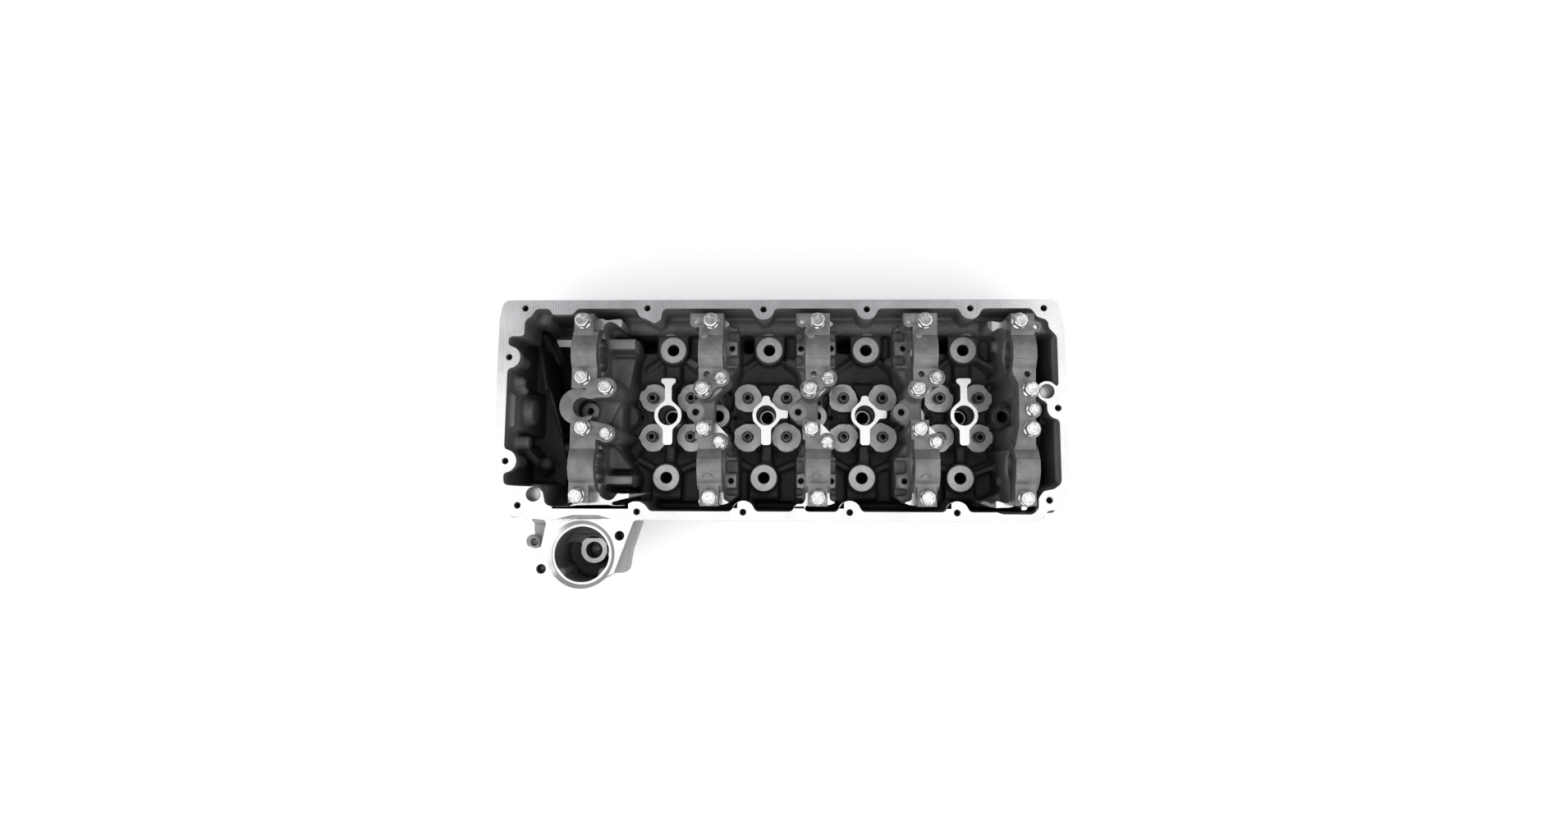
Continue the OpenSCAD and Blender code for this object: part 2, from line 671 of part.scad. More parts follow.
module valve_guides(side) {
    color("gray") for (x = cyl_x, sx = [-1, 1])
        translate([x + sx * valve_x, side * valve_y, port_z + 8]) rotate_extrude()
            polygon([
                [stem_r, 0], [guide_r - 1, 0], [guide_r, 1], [guide_r, guide_z - port_z - 9],
                [guide_r - 1, guide_z - port_z - 8], [stem_r, guide_z - port_z - 8]]);
}

module intake_valve_guides() { valve_guides(1); }
module exhaust_valve_guides() { valve_guides(-1); }

// Seat rings pressed in flush with the gasket face
module seat_rings(side, r) {
    color("gray") for (x = cyl_x, sx = [-1, 1])
        translate([x + sx * valve_x, side * valve_y, 0]) rotate_extrude()
            polygon([[r - 1.4, 0.6], [r, 0.6], [r, 7], [r - 3.5, 7], [r - 3.5, 3]]);
}

module intake_seat_rings() { seat_rings(1, intake_seat_r); }
module exhaust_seat_rings() { seat_rings(-1, exhaust_seat_r); }

module injector_sleeves() {
    color("silver") for (x = cyl_x) translate([x, 0, 0]) rotate_extrude()
        polygon([
            [4.2, 13], [8, 13], [8, 53], [6.8, 53], [6.8, 17], [4.2, 15]]);
}

module cap_dowel_pins() {
    color(steel) for (p = concat([rear_ear], [for (m = mid_x) upper_ear + [m, 0]]))
        post(p, 2.4, 126, cap_z - 3);
}

// Two pins in the front tower that carry the chain guide
module chain_guide_pins() {
    color(steel) for (p = [[-56, 112], [68, 112]]) bar_x(-256, -241, p[0], p[1], 2);
}

module deck_ring_dowels() {
    color(steel) for (p = [[-232, 60], [226, 60]]) difference() {
        post(p, 8, 0, 9);
        post(p, 6.2, -1, 10);
    }
}

module oil_bore_plugs() {
    color(steel) for (p = oil_bores) post(p, 6.6, rim_z - 22, rim_z - 12);
}

// ---------- plugs ----------

// Cup plug along X, with its mouth towards the side given by s
module cup_plug(x, y, z, r, depth, s) {
    translate([x, y, z]) rotate([0, s * 90, 0]) difference() {
        translate([0, 0, -depth]) cylinder(r = r, h = depth);
        translate([0, 0, -depth + 1.6]) cylinder(r = r - 1.6, h = depth);
    }
}

module left_wall_plug() {
    color(machined_grey) bar_x(left_x - 3.5, left_x + 9, left_plug[0], left_plug[1], plug_r);
}

module rear_core_plugs() {
    color(machined_grey) for (p = rear_plugs) cup_plug(240, p[0], p[1], end_plug_r, 7, 1);
}

module exhaust_side_core_plugs() {
    color(machined_grey) for (x = mid_x) translate([x, bottom_y + 2, side_plug_z]) rotate([90, 0, 0])
        difference() {
            translate([0, 0, -7]) cylinder(r = end_plug_r, h = 7);
            translate([0, 0, -5.4]) cylinder(r = end_plug_r - 1.6, h = 7);
        }
}

module gallery_end_plug() {
    color(steel) bar_x(238, 250, 0, 96, 6);
}

lower_head();
chain_case();
chain_end_wall();
intake_side_wall();
exhaust_side_wall();
rear_end_wall();
front_bearing_tower();
bearing_tower_1();
bearing_tower_2();
bearing_tower_3();
rear_bearing_tower();
thermostat_housing();
front_bearing_bridge();
upper_bearing_cap_1();
upper_bearing_cap_2();
upper_bearing_cap_3();
lower_bearing_cap_1();
lower_bearing_cap_2();
lower_bearing_cap_3();
rear_bearing_bridge();
front_bridge_bolts();
upper_cap_bolts();
lower_cap_bolts();
rear_bridge_bolts();
small_cap_bolts();
intake_valve_guides();
exhaust_valve_guides();
intake_seat_rings();
exhaust_seat_rings();
injector_sleeves();
cap_dowel_pins();
chain_guide_pins();
deck_ring_dowels();
oil_bore_plugs();
left_wall_plug();
rear_core_plugs();
exhaust_side_core_plugs();
gallery_end_plug();
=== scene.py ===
import json
import math
import random

import bmesh
import bpy
from mathutils import Matrix, Vector


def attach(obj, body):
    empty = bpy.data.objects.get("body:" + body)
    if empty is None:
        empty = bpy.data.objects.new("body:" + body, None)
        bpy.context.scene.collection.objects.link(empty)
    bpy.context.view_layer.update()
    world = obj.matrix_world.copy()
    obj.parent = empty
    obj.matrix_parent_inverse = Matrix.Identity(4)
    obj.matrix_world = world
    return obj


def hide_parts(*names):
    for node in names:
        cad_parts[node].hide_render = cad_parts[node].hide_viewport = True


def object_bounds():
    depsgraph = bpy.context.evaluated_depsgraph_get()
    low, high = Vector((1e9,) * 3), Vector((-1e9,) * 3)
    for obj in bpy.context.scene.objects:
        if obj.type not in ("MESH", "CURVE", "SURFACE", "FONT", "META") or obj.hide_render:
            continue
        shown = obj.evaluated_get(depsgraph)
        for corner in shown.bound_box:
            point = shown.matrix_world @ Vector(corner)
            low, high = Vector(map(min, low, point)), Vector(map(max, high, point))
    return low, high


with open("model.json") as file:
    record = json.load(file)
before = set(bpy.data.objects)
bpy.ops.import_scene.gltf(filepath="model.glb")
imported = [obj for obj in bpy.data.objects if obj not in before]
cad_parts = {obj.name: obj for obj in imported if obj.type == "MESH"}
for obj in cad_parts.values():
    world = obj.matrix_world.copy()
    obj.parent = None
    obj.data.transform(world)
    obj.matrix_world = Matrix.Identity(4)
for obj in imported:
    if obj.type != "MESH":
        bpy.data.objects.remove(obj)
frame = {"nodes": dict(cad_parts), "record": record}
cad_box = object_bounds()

# Lengths in this script are millimetres unless they say metres. The head's frame has X along the crankshaft,
# Y to the intake side and Z up, with its origin on the gasket face.
MM = 0.001
SEED = 41

# ---------------------------------------------------------------- places, from the frame

MOUNTS = {m["name"]: m for m in frame["record"]["mounts"]}


def spot(name):
    """Place of a mount, in millimetres."""
    return Vector(MOUNTS[name]["pos_m"]) / MM


def row(name):
    """Places of the holes of a straight pattern, which the frame lists as one or two pairs."""
    found = []
    for mount in MOUNTS.values():
        if mount["name"] in (name, name + "_inner", name + "_outer"):
            dims = mount["dims"]
            step = Vector((dims.get("spacing_x_mm", 0), dims.get("spacing_y_mm", 0), 0))
            found += [Vector(mount["pos_m"]) / MM + step * side for side in (-0.5, 0.5)]
    return sorted(found, key=lambda p: (round(p.x, 1), p.y))


def hole_radius(name):
    dims = MOUNTS[name]["dims"]
    return dims.get("hole_r_mm", dims.get("r_mm"))


def solids_of(node):
    """Lowest and highest corner of each separate solid in a CAD node."""
    mesh = bmesh.new()
    mesh.from_mesh(frame["nodes"][node].data)
    bmesh.ops.remove_doubles(mesh, verts=mesh.verts[:], dist=1e-6)
    left = set(mesh.verts)
    found = []
    while left:
        start = left.pop()
        group, todo = [start], [start]
        while todo:
            for edge in todo.pop().link_edges:
                for v in edge.verts:
                    if v in left:
                        left.remove(v)
                        group.append(v)
                        todo.append(v)
        points = [v.co / MM for v in group]
        found.append(tuple(Vector(f(p[i] for p in points) for i in range(3)) for f in (min, max)))
    mesh.free()
    return sorted(found, key=lambda pair: (round(pair[0].x, 2), pair[0].y))


CYLINDERS = [p.x for p in row("injector_wells")]
PITCH = CYLINDERS[1] - CYLINDERS[0]
BEARINGS = [spot("middle_head_bolts").x + i * PITCH for i in (-1, 0, 1)]
RIM_Z = spot("cover_face").z
CAP_Z = RIM_Z + 16.6
INJECTOR_Z = spot("injector_wells_inner").z
BOLT_SEAT_Z = spot("upper_head_bolts_inner").z
PEDESTAL_Z = spot("pedestal_tapped_holes").z
HOUSING_Z = spot("housing_face").z
PARTING_Z = spot("intake_camshaft_bearings").z
CAM_Y = spot("intake_camshaft_bearings").y
FLOOR_Z = spot("middle_line_tapped_holes_inner").z
SPRING_Z = FLOOR_Z + 4
HEAD_BOLT_R = hole_radius("upper_head_bolts_inner")
BOLT_SEAT_R = 14.0
SPRING_SEAT_R = 15.0
CAM_R = 15.0
FRONT_CAM_R = 17.0
SIDE_HEAD_BOLTS = row("upper_head_bolts") + row("lower_head_bolts")
END_BOLTS = (-205.0, 201.0)
VALVES = []
for number in range(1, 5):
    mount = MOUNTS[f"valve_guide_bores_{number}"]
    middle = spot(mount["name"]).x
    half_x, half_y = mount["dims"]["spacing_x_mm"] / 2, mount["dims"]["spacing_y_mm"] / 2
    VALVES += [Vector((middle + sx * half_x, sy * half_y, SPRING_Z)) for sx in (-1, 1) for sy in (-1, 1)]
SIDE_PADS = {1: 66.4, -1: -70.0}
PEDESTALS = [Vector((spot("pedestal_tapped_holes").x + i * PITCH, 0, PEDESTAL_Z)) for i in (-1, 0, 1)]
FRONT_PEDESTAL = Vector((-231.2, 0.6, PEDESTAL_Z))
CASTING = (
    "lower_head", "chain_case", "chain_end_wall", "intake_side_wall", "exhaust_side_wall", "rear_end_wall",
    "front_bearing_tower", "bearing_tower_1", "bearing_tower_2", "bearing_tower_3", "rear_bearing_tower",
    "thermostat_housing")

# Parts of the parting face beside the caps of a tower, for each side: their lowest height, whether the last
# tower has them mirrored, and their outline from the tower's middle
PARTING_WEBS = {
    1: ((98, False, ((-15.1, 13.4), (-11, 10.2), (-4.8, 9), (0, 11.4), (5.4, 16.6), (13.4, 24.7), (12, 38),
                     (-10, 38))),
        (96, False, ((8, 91.6), (16.9, 89.6), (17.8, 85.5), (8, 87.6)))),
    -1: ((98, False, ((-8, -12), (2, -11), (6, -13.5), (17.5, -26), (16, -38), (-8, -30))),
         (92, True, ((-12.7, -91), (-10, -86), (8, -82), (10.4, -82.6), (11, -86.4), (9.8, -89.8),
                     (12.4, -89.6), (15.1, -89.6), (20.4, -90.2), (19.6, -91.2), (14.3, -93.3),
                     (7.4, -94.4), (-9, -94.4)))),
}

# ---------------------------------------------------------------- shapes


class Stock:
    """Closed shapes in millimetres, gathered into one mesh. Each shape names the finish of its faces."""

    def __init__(self):
        self.mesh = bmesh.new()
        self.finishes = ["cast"]

    def index(self, finish):
        if finish not in self.finishes:
            self.finishes.append(finish)
        return self.finishes.index(finish)

    def close(self, rings, finish, smooth=False):
        """Joins rings of points, one after another, and caps both ends."""
        made = [[self.mesh.verts.new(p) for p in ring] for ring in rings]
        faces = [self.mesh.faces.new(made[0]), self.mesh.faces.new(made[-1][::-1])]
        count = len(made[0])
        for a, b in zip(made, made[1:]):
            for i in range(count):
                j = (i + 1) % count
                faces.append(self.mesh.faces.new((a[i], b[i], b[j], a[j])))
        for face in faces:
            face.material_index = self.index(finish)
            face.smooth = smooth
        bmesh.ops.recalc_face_normals(self.mesh, faces=faces)

    def prism(self, outline, low, high, finish="cast"):
        """Upright prism over a plan outline."""
        self.close([[(x, y, z) for x, y in outline] for z in (low, high)], finish)

    def taper(self, outline, top_outline, low, high, finish="cast"):
        """Upright shape whose outline changes from bottom to top."""
        self.close([[(x, y, low) for x, y in outline], [(x, y, high) for x, y in top_outline]], finish)

    def along_x(self, section, x0, x1, finish="cast"):
        """Bar along X with a given section in Y and Z."""
        self.close([[(x, y, z) for y, z in section] for x in (x0, x1)], finish)

    def block(self, x0, x1, y0, y1, z0, z1, finish="cast"):
        self.prism([(x0, y0), (x1, y0), (x1, y1), (x0, y1)], z0, z1, finish)

    def frustum(self, box, top_box, low, high):
        """Upright shape between two rectangles, each given as X0, X1, Y0, Y1."""
        outlines = [[(x0, y0), (x1, y0), (x1, y1), (x0, y1)] for x0, x1, y0, y1 in (box, top_box)]
        self.taper(*outlines, low, high)

    def turned(self, profile, at=(0, 0, 0), axis=(0, 0, 1), sides=48, finish="cast"):
        """Turned shape from a list of radius and height. A radius of 0 is taken as a very small one."""
        turn = Vector((0, 0, 1)).rotation_difference(Vector(axis)).to_matrix().to_4x4()
        place = Matrix.Translation(at) @ turn
        angles = [2 * math.pi * (i + 0.5) / sides for i in range(sides)]
        wide = [(max(r, 0.01), h) for r, h in profile]
        self.close([[place @ Vector((r * math.cos(a), r * math.sin(a), h)) for a in angles] for r, h in wide],
                   finish, smooth=True)

    def post(self, x, y, r, z0, z1, finish="cast", top=None):
        self.turned([(r, z0), (r if top is None else top, z1)], (x, y, 0), finish=finish)

    def bar(self, start, end, r, finish="cast", end_r=None):
        a, b = Vector(start), Vector(end)
        self.turned([(r, 0), (r if end_r is None else end_r, (b - a).length)], a, b - a, finish=finish)

    def web(self, start, end, width, low, high, end_high=None, draft=1.5):
        """Rib between two plan points, thinner at its top; its top may slope to another height."""
        a, b = Vector(start), Vector(end)
        side = (b - a).normalized().orthogonal()
        end_high = high if end_high is None else end_high
        rings = []
        for half, levels in ((width / 2 + draft, (low, low)), (width / 2 - draft * 0.3, (high, end_high))):
            rings.append([(*(a + side * half), levels[0]), (*(b + side * half), levels[1]),
                          (*(b - side * half), levels[1]), (*(a - side * half), levels[0])])
        self.close(rings, "cast")

    def ball(self, x, y, z, r, flat=1.0):
        """Round knob, flattened along Z."""
        steps = 8
        self.turned([(r * math.sin(math.pi * i / steps), -r * flat * math.cos(math.pi * i / steps))
                     for i in range(steps + 1)], (x, y, z), sides=20)

    def hole(self, x, y, r, floor, top, finish="bored"):
        """Cutter of a drilled and countersunk hole from above."""
        lead = 0.8
        self.turned([(0, floor - r * 0.6), (r, floor), (r, top - lead), (r + lead, top), (r + lead, top + 4)],
                    (x, y, 0), sides=40, finish=finish)

    def take(self, node):
        """Adds a copy of a CAD node's mesh."""
        first = len(self.mesh.verts)
        self.mesh.from_mesh(frame["nodes"][node].data)
        self.mesh.verts.ensure_lookup_table()
        for v in self.mesh.verts[first:]:
            v.co /= MM

    def piece(self, name):
        """The gathered shapes as one object, in metres."""
        data = bpy.data.meshes.new(name)
        bmesh.ops.transform(self.mesh, matrix=Matrix.Scale(MM, 4), verts=self.mesh.verts[:])
        self.mesh.to_mesh(data)
        self.mesh.free()
        for finish in self.finishes:
            data.materials.append(FINISHES[finish])
        made = bpy.data.objects.new(name, data)
        bpy.context.scene.collection.objects.link(made)
        return made


def reshape(piece, kind, **settings):
    """Runs one modifier on a piece and keeps its result."""
    modifier = piece.modifiers.new("step", kind)
    for key, value in settings.items():
        setattr(modifier, key, value)
    graph = bpy.context.evaluated_depsgraph_get()
    result = bpy.data.meshes.new_from_object(piece.evaluated_get(graph), depsgraph=graph)
    piece.modifiers.clear()
    old, piece.data = piece.data, result
    bpy.data.meshes.remove(old)
    return piece


def cut(piece, cutters):
    """Takes the cutters' shapes out of a piece; the new faces have the cutters' finish."""
    tool = cutters.piece("cutter")
    reshape(piece, "BOOLEAN", object=tool, operation="DIFFERENCE", solver="MANIFOLD",
            material_mode="TRANSFER")
    bpy.data.objects.remove(tool)


def sharpen(piece, degrees=32):
    """Smooth faces that break at the sharp edges."""
    piece.data.polygons.foreach_set("use_smooth", [True] * len(piece.data.polygons))
    piece.data.set_sharp_from_angle(angle=math.radians(degrees))


def finish_piece(piece, slot, *nodes):
    """Fixes a finished piece to the head, in place of the CAD nodes that it stands for."""
    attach(piece, "root")
    if nodes:
        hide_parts(*nodes)
    return piece


# ---------------------------------------------------------------- finishes


class Value:
    """A number that varies over a surface. Arithmetic on it adds Math nodes."""

    def __init__(self, finish, socket):
        self.finish = finish
        self.socket = socket

    def math(self, operation, *others):
        inputs = dict(enumerate((self, *others)))
        made = self.finish.node("ShaderNodeMath", {"operation": operation}, inputs)
        return Value(self.finish, made.outputs[0])

    def __add__(self, other):
        return self.math("ADD", other)

    __radd__ = __add__

    def __mul__(self, other):
        return self.math("MULTIPLY", other)

    __rmul__ = __mul__

    def __sub__(self, other):
        return self.math("SUBTRACT", other)

    def __rsub__(self, other):
        return (self * -1) + other

    def __truediv__(self, other):
        return self.math("DIVIDE", other)

    def __pow__(self, other):
        return self.math("POWER", other)

    def __abs__(self):
        return self.math("ABSOLUTE")

    def above(self, level, width=0.1):
        """Soft step from 0 to 1 round a level."""
        return ((self - (level - width / 2)) / width).math("MINIMUM", 1).math("MAXIMUM", 0)


class Finish:
    """A material built from nodes round one metal shader."""

    def __init__(self, name, metallic, specular=0.5):
        self.material = bpy.data.materials.new(name)
        self.material.use_nodes = True
        self.tree = self.material.node_tree
        self.tree.nodes.clear()
        self.shader = self.node("ShaderNodeBsdfPrincipled", {}, {"Metallic": metallic,
                                                                "Specular IOR Level": specular})
        self.node("ShaderNodeOutputMaterial", {}, {"Surface": self.shader.outputs[0]})
        self.place = self.node("ShaderNodeTexCoord", {}, {}).outputs["Object"]
        self.height = None

    def node(self, kind, settings, inputs):
        """Any node: its type, its settings, and the values or links of its sockets."""
        made = self.tree.nodes.new(kind)
        for key, value in settings.items():
            if key == "stops":
                for _ in value[2:]:
                    made.color_ramp.elements.new(0.5)
                for element, (position, tone) in zip(made.color_ramp.elements, value):
                    element.position = position
                    element.color = (*tone, 1) if isinstance(tone, tuple) else (tone, tone, tone, 1)
            else:
                setattr(made, key, value)
        for key, value in inputs.items():
            value = getattr(value, "socket", value)
            if isinstance(value, bpy.types.NodeSocket):
                self.tree.links.new(value, made.inputs[key])
            else:
                made.inputs[key].default_value = value
        return made

    def noise(self, size, detail=3, roughness=0.55, stretch=None, distortion=0.0):
        """Noise from 0 to 1 whose patches are about size millimetres wide."""
        place = self.place
        if stretch:
            place = self.node("ShaderNodeVectorMath", {"operation": "MULTIPLY"},
                              {0: place, 1: stretch}).outputs[0]
        made = self.node("ShaderNodeTexNoise", {}, {
            "Vector": place, "Scale": 1 / (size * MM), "Detail": detail, "Roughness": roughness,
            "Distortion": distortion})
        return Value(self, made.outputs["Fac"])

    def cells(self, size, feature="F1"):
        made = self.node("ShaderNodeTexVoronoi", {"feature": feature},
                         {"Vector": self.place, "Scale": 1 / (size * MM)})
        return Value(self, made.outputs["Distance"])

    def axes(self):
        """X, Y and Z of the place on the head, in millimetres."""
        apart = self.node("ShaderNodeSeparateXYZ", {}, {0: self.place})
        return [Value(self, out) / MM for out in apart.outputs]

    def paint(self, factor, tones):
        """Base colour from a ramp of grey tones or colours."""
        ramp = self.node("ShaderNodeValToRGB", {"stops": tones}, {"Fac": factor})
        self.color = ramp.outputs["Color"]
        self.tree.links.new(self.color, self.shader.inputs["Base Color"])
        return self

    def rough(self, factor):
        self.tree.links.new(factor.socket, self.shader.inputs["Roughness"])
        return self

    def relief(self, height, depth):
        """Bump of a height from 0 to 1, depth millimetres deep."""
        inputs = {"Height": height, "Strength": 1.0, "Distance": depth * MM}
        if self.height is not None:
            inputs["Normal"] = self.height
        self.height = self.node("ShaderNodeBump", {}, inputs).outputs["Normal"]
        self.tree.links.new(self.height, self.shader.inputs["Normal"])
        return self


def cast_skin(name, tones, metallic=0.25, depth_shade=1.0):
    """Sand-cast aluminium: fine pebbled grain with broad patches, and painted shade that darkens it the lower
    it lies.
    """
    skin = Finish(name, metallic)
    x, y, z = skin.axes()
    grain = skin.noise(1.1, detail=4, roughness=0.7)
    patches = skin.noise(34, detail=3)
    pits = 1 - skin.cells(1.9).above(0.22, 0.3)
    # painted shade: the skin is painted darker the lower it lies, in place of the light that falls off into
    # the deep pockets
    reach = (z - 84) / 400
    skin.paint(grain * 0.55 + patches * 0.35 + 0.05 + reach * depth_shade - pits * 0.06, tones)
    skin.rough(grain * 0.22 + 0.5)
    return skin.relief(grain, 0.35).relief(1 - pits, 0.08)


def milled_face(name, tones, roughness=0.3, metallic=0.9):
    """Face-milled aluminium: broad overlapping cutter sweeps and light scratches."""
    face = Finish(name, metallic)
    x, y, z = face.axes()
    sweep = ((x + 900) ** 2 + (y - 40) ** 2).math("SQRT") / 2.6
    lines = (sweep * 2 * math.pi).math("SINE") * 0.5 + 0.5
    cloud = face.noise(26, detail=4)
    fine = face.noise(0.9, detail=2, stretch=(1, 0.3, 1))
    face.paint(cloud * 0.6 + fine * 0.3 + lines * 0.1, tones)
    face.rough(cloud * 0.12 + lines * 0.05 + (roughness - 0.08))
    return face.relief(lines, 0.004).relief(fine, 0.012)


def turned_seat(name, radius_from, tones):
    """Spot-faced seat: mottled metal with the rings of a turning tool."""
    seat = Finish(name, 0.7)
    r = radius_from(seat)
    rings = (r * (2 * math.pi / 1.3)).math("SINE") * 0.5 + 0.5
    speckle = seat.noise(0.9, detail=3, roughness=0.7)
    cloud = seat.noise(9, detail=3)
    seat.paint(speckle * 0.5 + rings * 0.14 + cloud * 0.36, tones)
    seat.rough(speckle * 0.2 + 0.3)
    return seat.relief(rings, 0.03).relief(speckle, 0.04)


def from_centres(x, y, column, y_up, y_down, offset_up, offset_down):
    """Distance in plan from the nearest centre of a grid that repeats with the cylinders."""
    up = y.above(0, 0.1)
    shift = up * (offset_up - offset_down) + offset_down
    local = (x - shift + PITCH * 10).math("MODULO", PITCH) - PITCH / 2
    dx = abs(local) - column
    dy = y - (up * (y_up - y_down) + y_down)
    return (dx ** 2 + dy ** 2).math("SQRT")


def valve_radius(seat):
    x, y, z = seat.axes()
    return from_centres(x, y, abs(VALVES[0].x - CYLINDERS[0]), VALVES[1].y, VALVES[0].y, 0, 0)


def bolt_radius(seat):
    x, y, z = seat.axes()
    upper, lower = spot("upper_head_bolts_inner"), spot("lower_head_bolts_inner")
    return from_centres(x, y, 0, upper.y, lower.y, upper.x, lower.x)


def plain_metal(name, tones, roughness, metallic=1.0, size=3.0, depth=0.01):
    """Turned, drilled or ground metal with light patches."""
    metal = Finish(name, metallic)
    patches = metal.noise(size * 3, detail=4)
    fine = metal.noise(size * 0.3, detail=2)
    metal.paint(patches * 0.6 + fine * 0.4, tones)
    metal.rough(patches * 0.16 + (roughness - 0.08))
    return metal.relief(fine, depth)


def zinc_plate(name, tones):
    """Bright plated steel, a little uneven, with dull flecks where the plating is thin."""
    plate = Finish(name, 1.0)
    cloud = plate.noise(2.6, detail=4, roughness=0.65, distortion=0.6)
    flecks = plate.noise(0.8, detail=2)
    plate.paint(cloud * 0.8 + flecks * 0.2, tones)
    plate.rough(cloud * 0.2 + 0.12)
    return plate.relief(cloud, 0.05).relief(flecks, 0.01)


def blasted_cap(name, tones, roughness):
    """Bearing cap skin: satin aluminium with even small grain and a few dark scuffs."""
    cap = Finish(name, 0.55)
    grain = cap.noise(0.7, detail=3, roughness=0.6)
    patches = cap.noise(11, detail=4)
    scuffs = cap.noise(5, detail=5, roughness=0.7, distortion=1.2).above(0.7, 0.1)
    cap.paint(grain * 0.4 + patches * 0.6 - scuffs * 0.25, tones)
    cap.rough(grain * 0.15 + patches * 0.1 + (roughness - 0.12))
    return cap.relief(grain, 0.05)


FINISHES = {key: made.material for key, made in {
    # the chamber's skin is a darker copy of the same cast aluminium: painted shade for the light that does
    # not reach into the chamber
    "cast": cast_skin("cast_inside", [(0.22, 0.012), (0.42, 0.03), (0.55, 0.07), (0.78, 0.17)], 0.25, 2.0),
    "cast_outside": cast_skin("cast_outside", [(0.25, 0.2), (0.5, 0.33), (0.78, 0.5)], 0.4, 0.0),
    "milled": milled_face("milled_face", [(0.3, 0.46), (0.5, 0.54), (0.7, 0.62)], 0.2),
    "keys": milled_face("milled_keys", [(0.2, 0.64), (0.5, 0.7), (0.8, 0.76)], 0.26, 0.7),
    "pad": milled_face("milled_pads", [(0.25, 0.1), (0.5, 0.17), (0.7, 0.26)], 0.36, 0.7),
    "spring_seat": turned_seat("spring_seats", valve_radius, [(0.25, 0.2), (0.5, 0.4), (0.75, 0.7)]),
    "bolt_seat": turned_seat("bolt_seats", bolt_radius, [(0.25, 0.26), (0.5, 0.4), (0.75, 0.62)]),
    "bored": plain_metal("bored_holes", [(0.3, 0.07), (0.5, 0.14), (0.7, 0.26)], 0.36, 0.85),
    "bearing": plain_metal("bearing_bores", [(0.3, 0.34), (0.7, 0.5)], 0.24, 1.0),
    "cap": blasted_cap("cap_satin", [(0.3, 0.1), (0.5, 0.15), (0.7, 0.22)], 0.44),
    "zinc": zinc_plate("bright_zinc", [(0.3, 0.26), (0.5, 0.5), (0.66, 0.76)]),
    "iron": plain_metal("guide_iron", [(0.3, 0.04), (0.5, 0.08), (0.7, 0.17)], 0.42, 0.8, 1.5),
    "seat_steel": plain_metal("seat_steel", [(0.3, 0.35), (0.7, 0.6)], 0.3),
    "sleeve": plain_metal("sleeve_steel", [(0.3, 0.2), (0.5, 0.34), (0.7, 0.55)], 0.3, 1.0, 2),
    "pin": plain_metal("ground_pins", [(0.3, 0.5), (0.7, 0.8)], 0.2),
    "plug": plain_metal("plug_steel", [(0.3, 0.25), (0.5, 0.4), (0.7, 0.55)], 0.34, 1.0, 6),
}.items()}


# ---------------------------------------------------------------- the casting

RAISED = 2.0
FIRST_GRAIN = 1.6
CAST_GRAIN = 1.5
KEPT_FACES = 0.3
SPOT_FACE_Z = 117.4
MACHINED_LEVELS = (RIM_Z, PARTING_Z, HOUSING_Z, PEDESTAL_Z, INJECTOR_Z, BOLT_SEAT_Z, SPRING_Z)
SPOT_FACES = [(BEARINGS[0] + 18.4, s) for s in (1, -1)] + [(BEARINGS[1] + x, s) for x in (-15.4, 15.4)
                                                           for s in (1, -1)]
SPOT_FACES += [(BEARINGS[2] - 15.4, s) for s in (1, -1)]
DRAINS = ((-198, -175), (-79, -66), (24, 39.5), (125, 147))
COVER_HOLES = [
    (-295.6, 103.8), (-171.2, 103.8), (-53.4, 102.3), (50.8, 102.3), (154.5, 103.1), (227.7, 103.1),
    (238.8, 2.5), (227.5, -88.2), (137.5, -100.8), (32.5, -100.8), (-72.5, -100.8), (-177.5, -100.8),
    (-296.4, -94.9), (-310.3, -51.1), (-310.3, 53.7)]
OIL_BORES = [((a + b) / 2).xy for a, b in solids_of("oil_bore_plugs")]
HOUSING = Vector((-234.5, -143.6))
OUTLET = Vector((-232.6, -142.4))
EAR = Vector((-288.6, -132.9))
HOUSING_R = 33.8
HOUSING_LIP_R = 29.7
HOUSING_BORE_R = 27.2
HOUSING_LIP_Z = HOUSING_Z - 3.6
HOUSING_LUGS = ((0, 2.6), (-41, 4.6), (-139, 4.6))
HOUSING_HOLES = ((-196.4, -124.9, HOUSING_Z - 20), (-274, -157.9, HOUSING_Z - 11))
TOWER_BOLTS = [((a + b) / 2).xy for n in ("front_bridge_bolts", "rear_bridge_bolts", "upper_cap_bolts",
                                         "lower_cap_bolts") for a, b in solids_of(n)]
SMALL_BOLTS = [((a + b) / 2).xy for a, b in solids_of("small_cap_bolts")]
CAP_PINS = [((a + b) / 2).xy for a, b in solids_of("cap_dowel_pins")]


def raw_stock():
    """The CAD casting with extra metal on every face that is machined later."""
    stock = Stock()
    for node in CASTING:
        stock.take(node)
    for v in stock.mesh.verts:
        if min(abs(v.co.z - level) for level in MACHINED_LEVELS) < 0.01:
            v.co.z += RAISED
        elif abs(v.co.z) < 0.01:
            v.co.z -= RAISED
    return stock


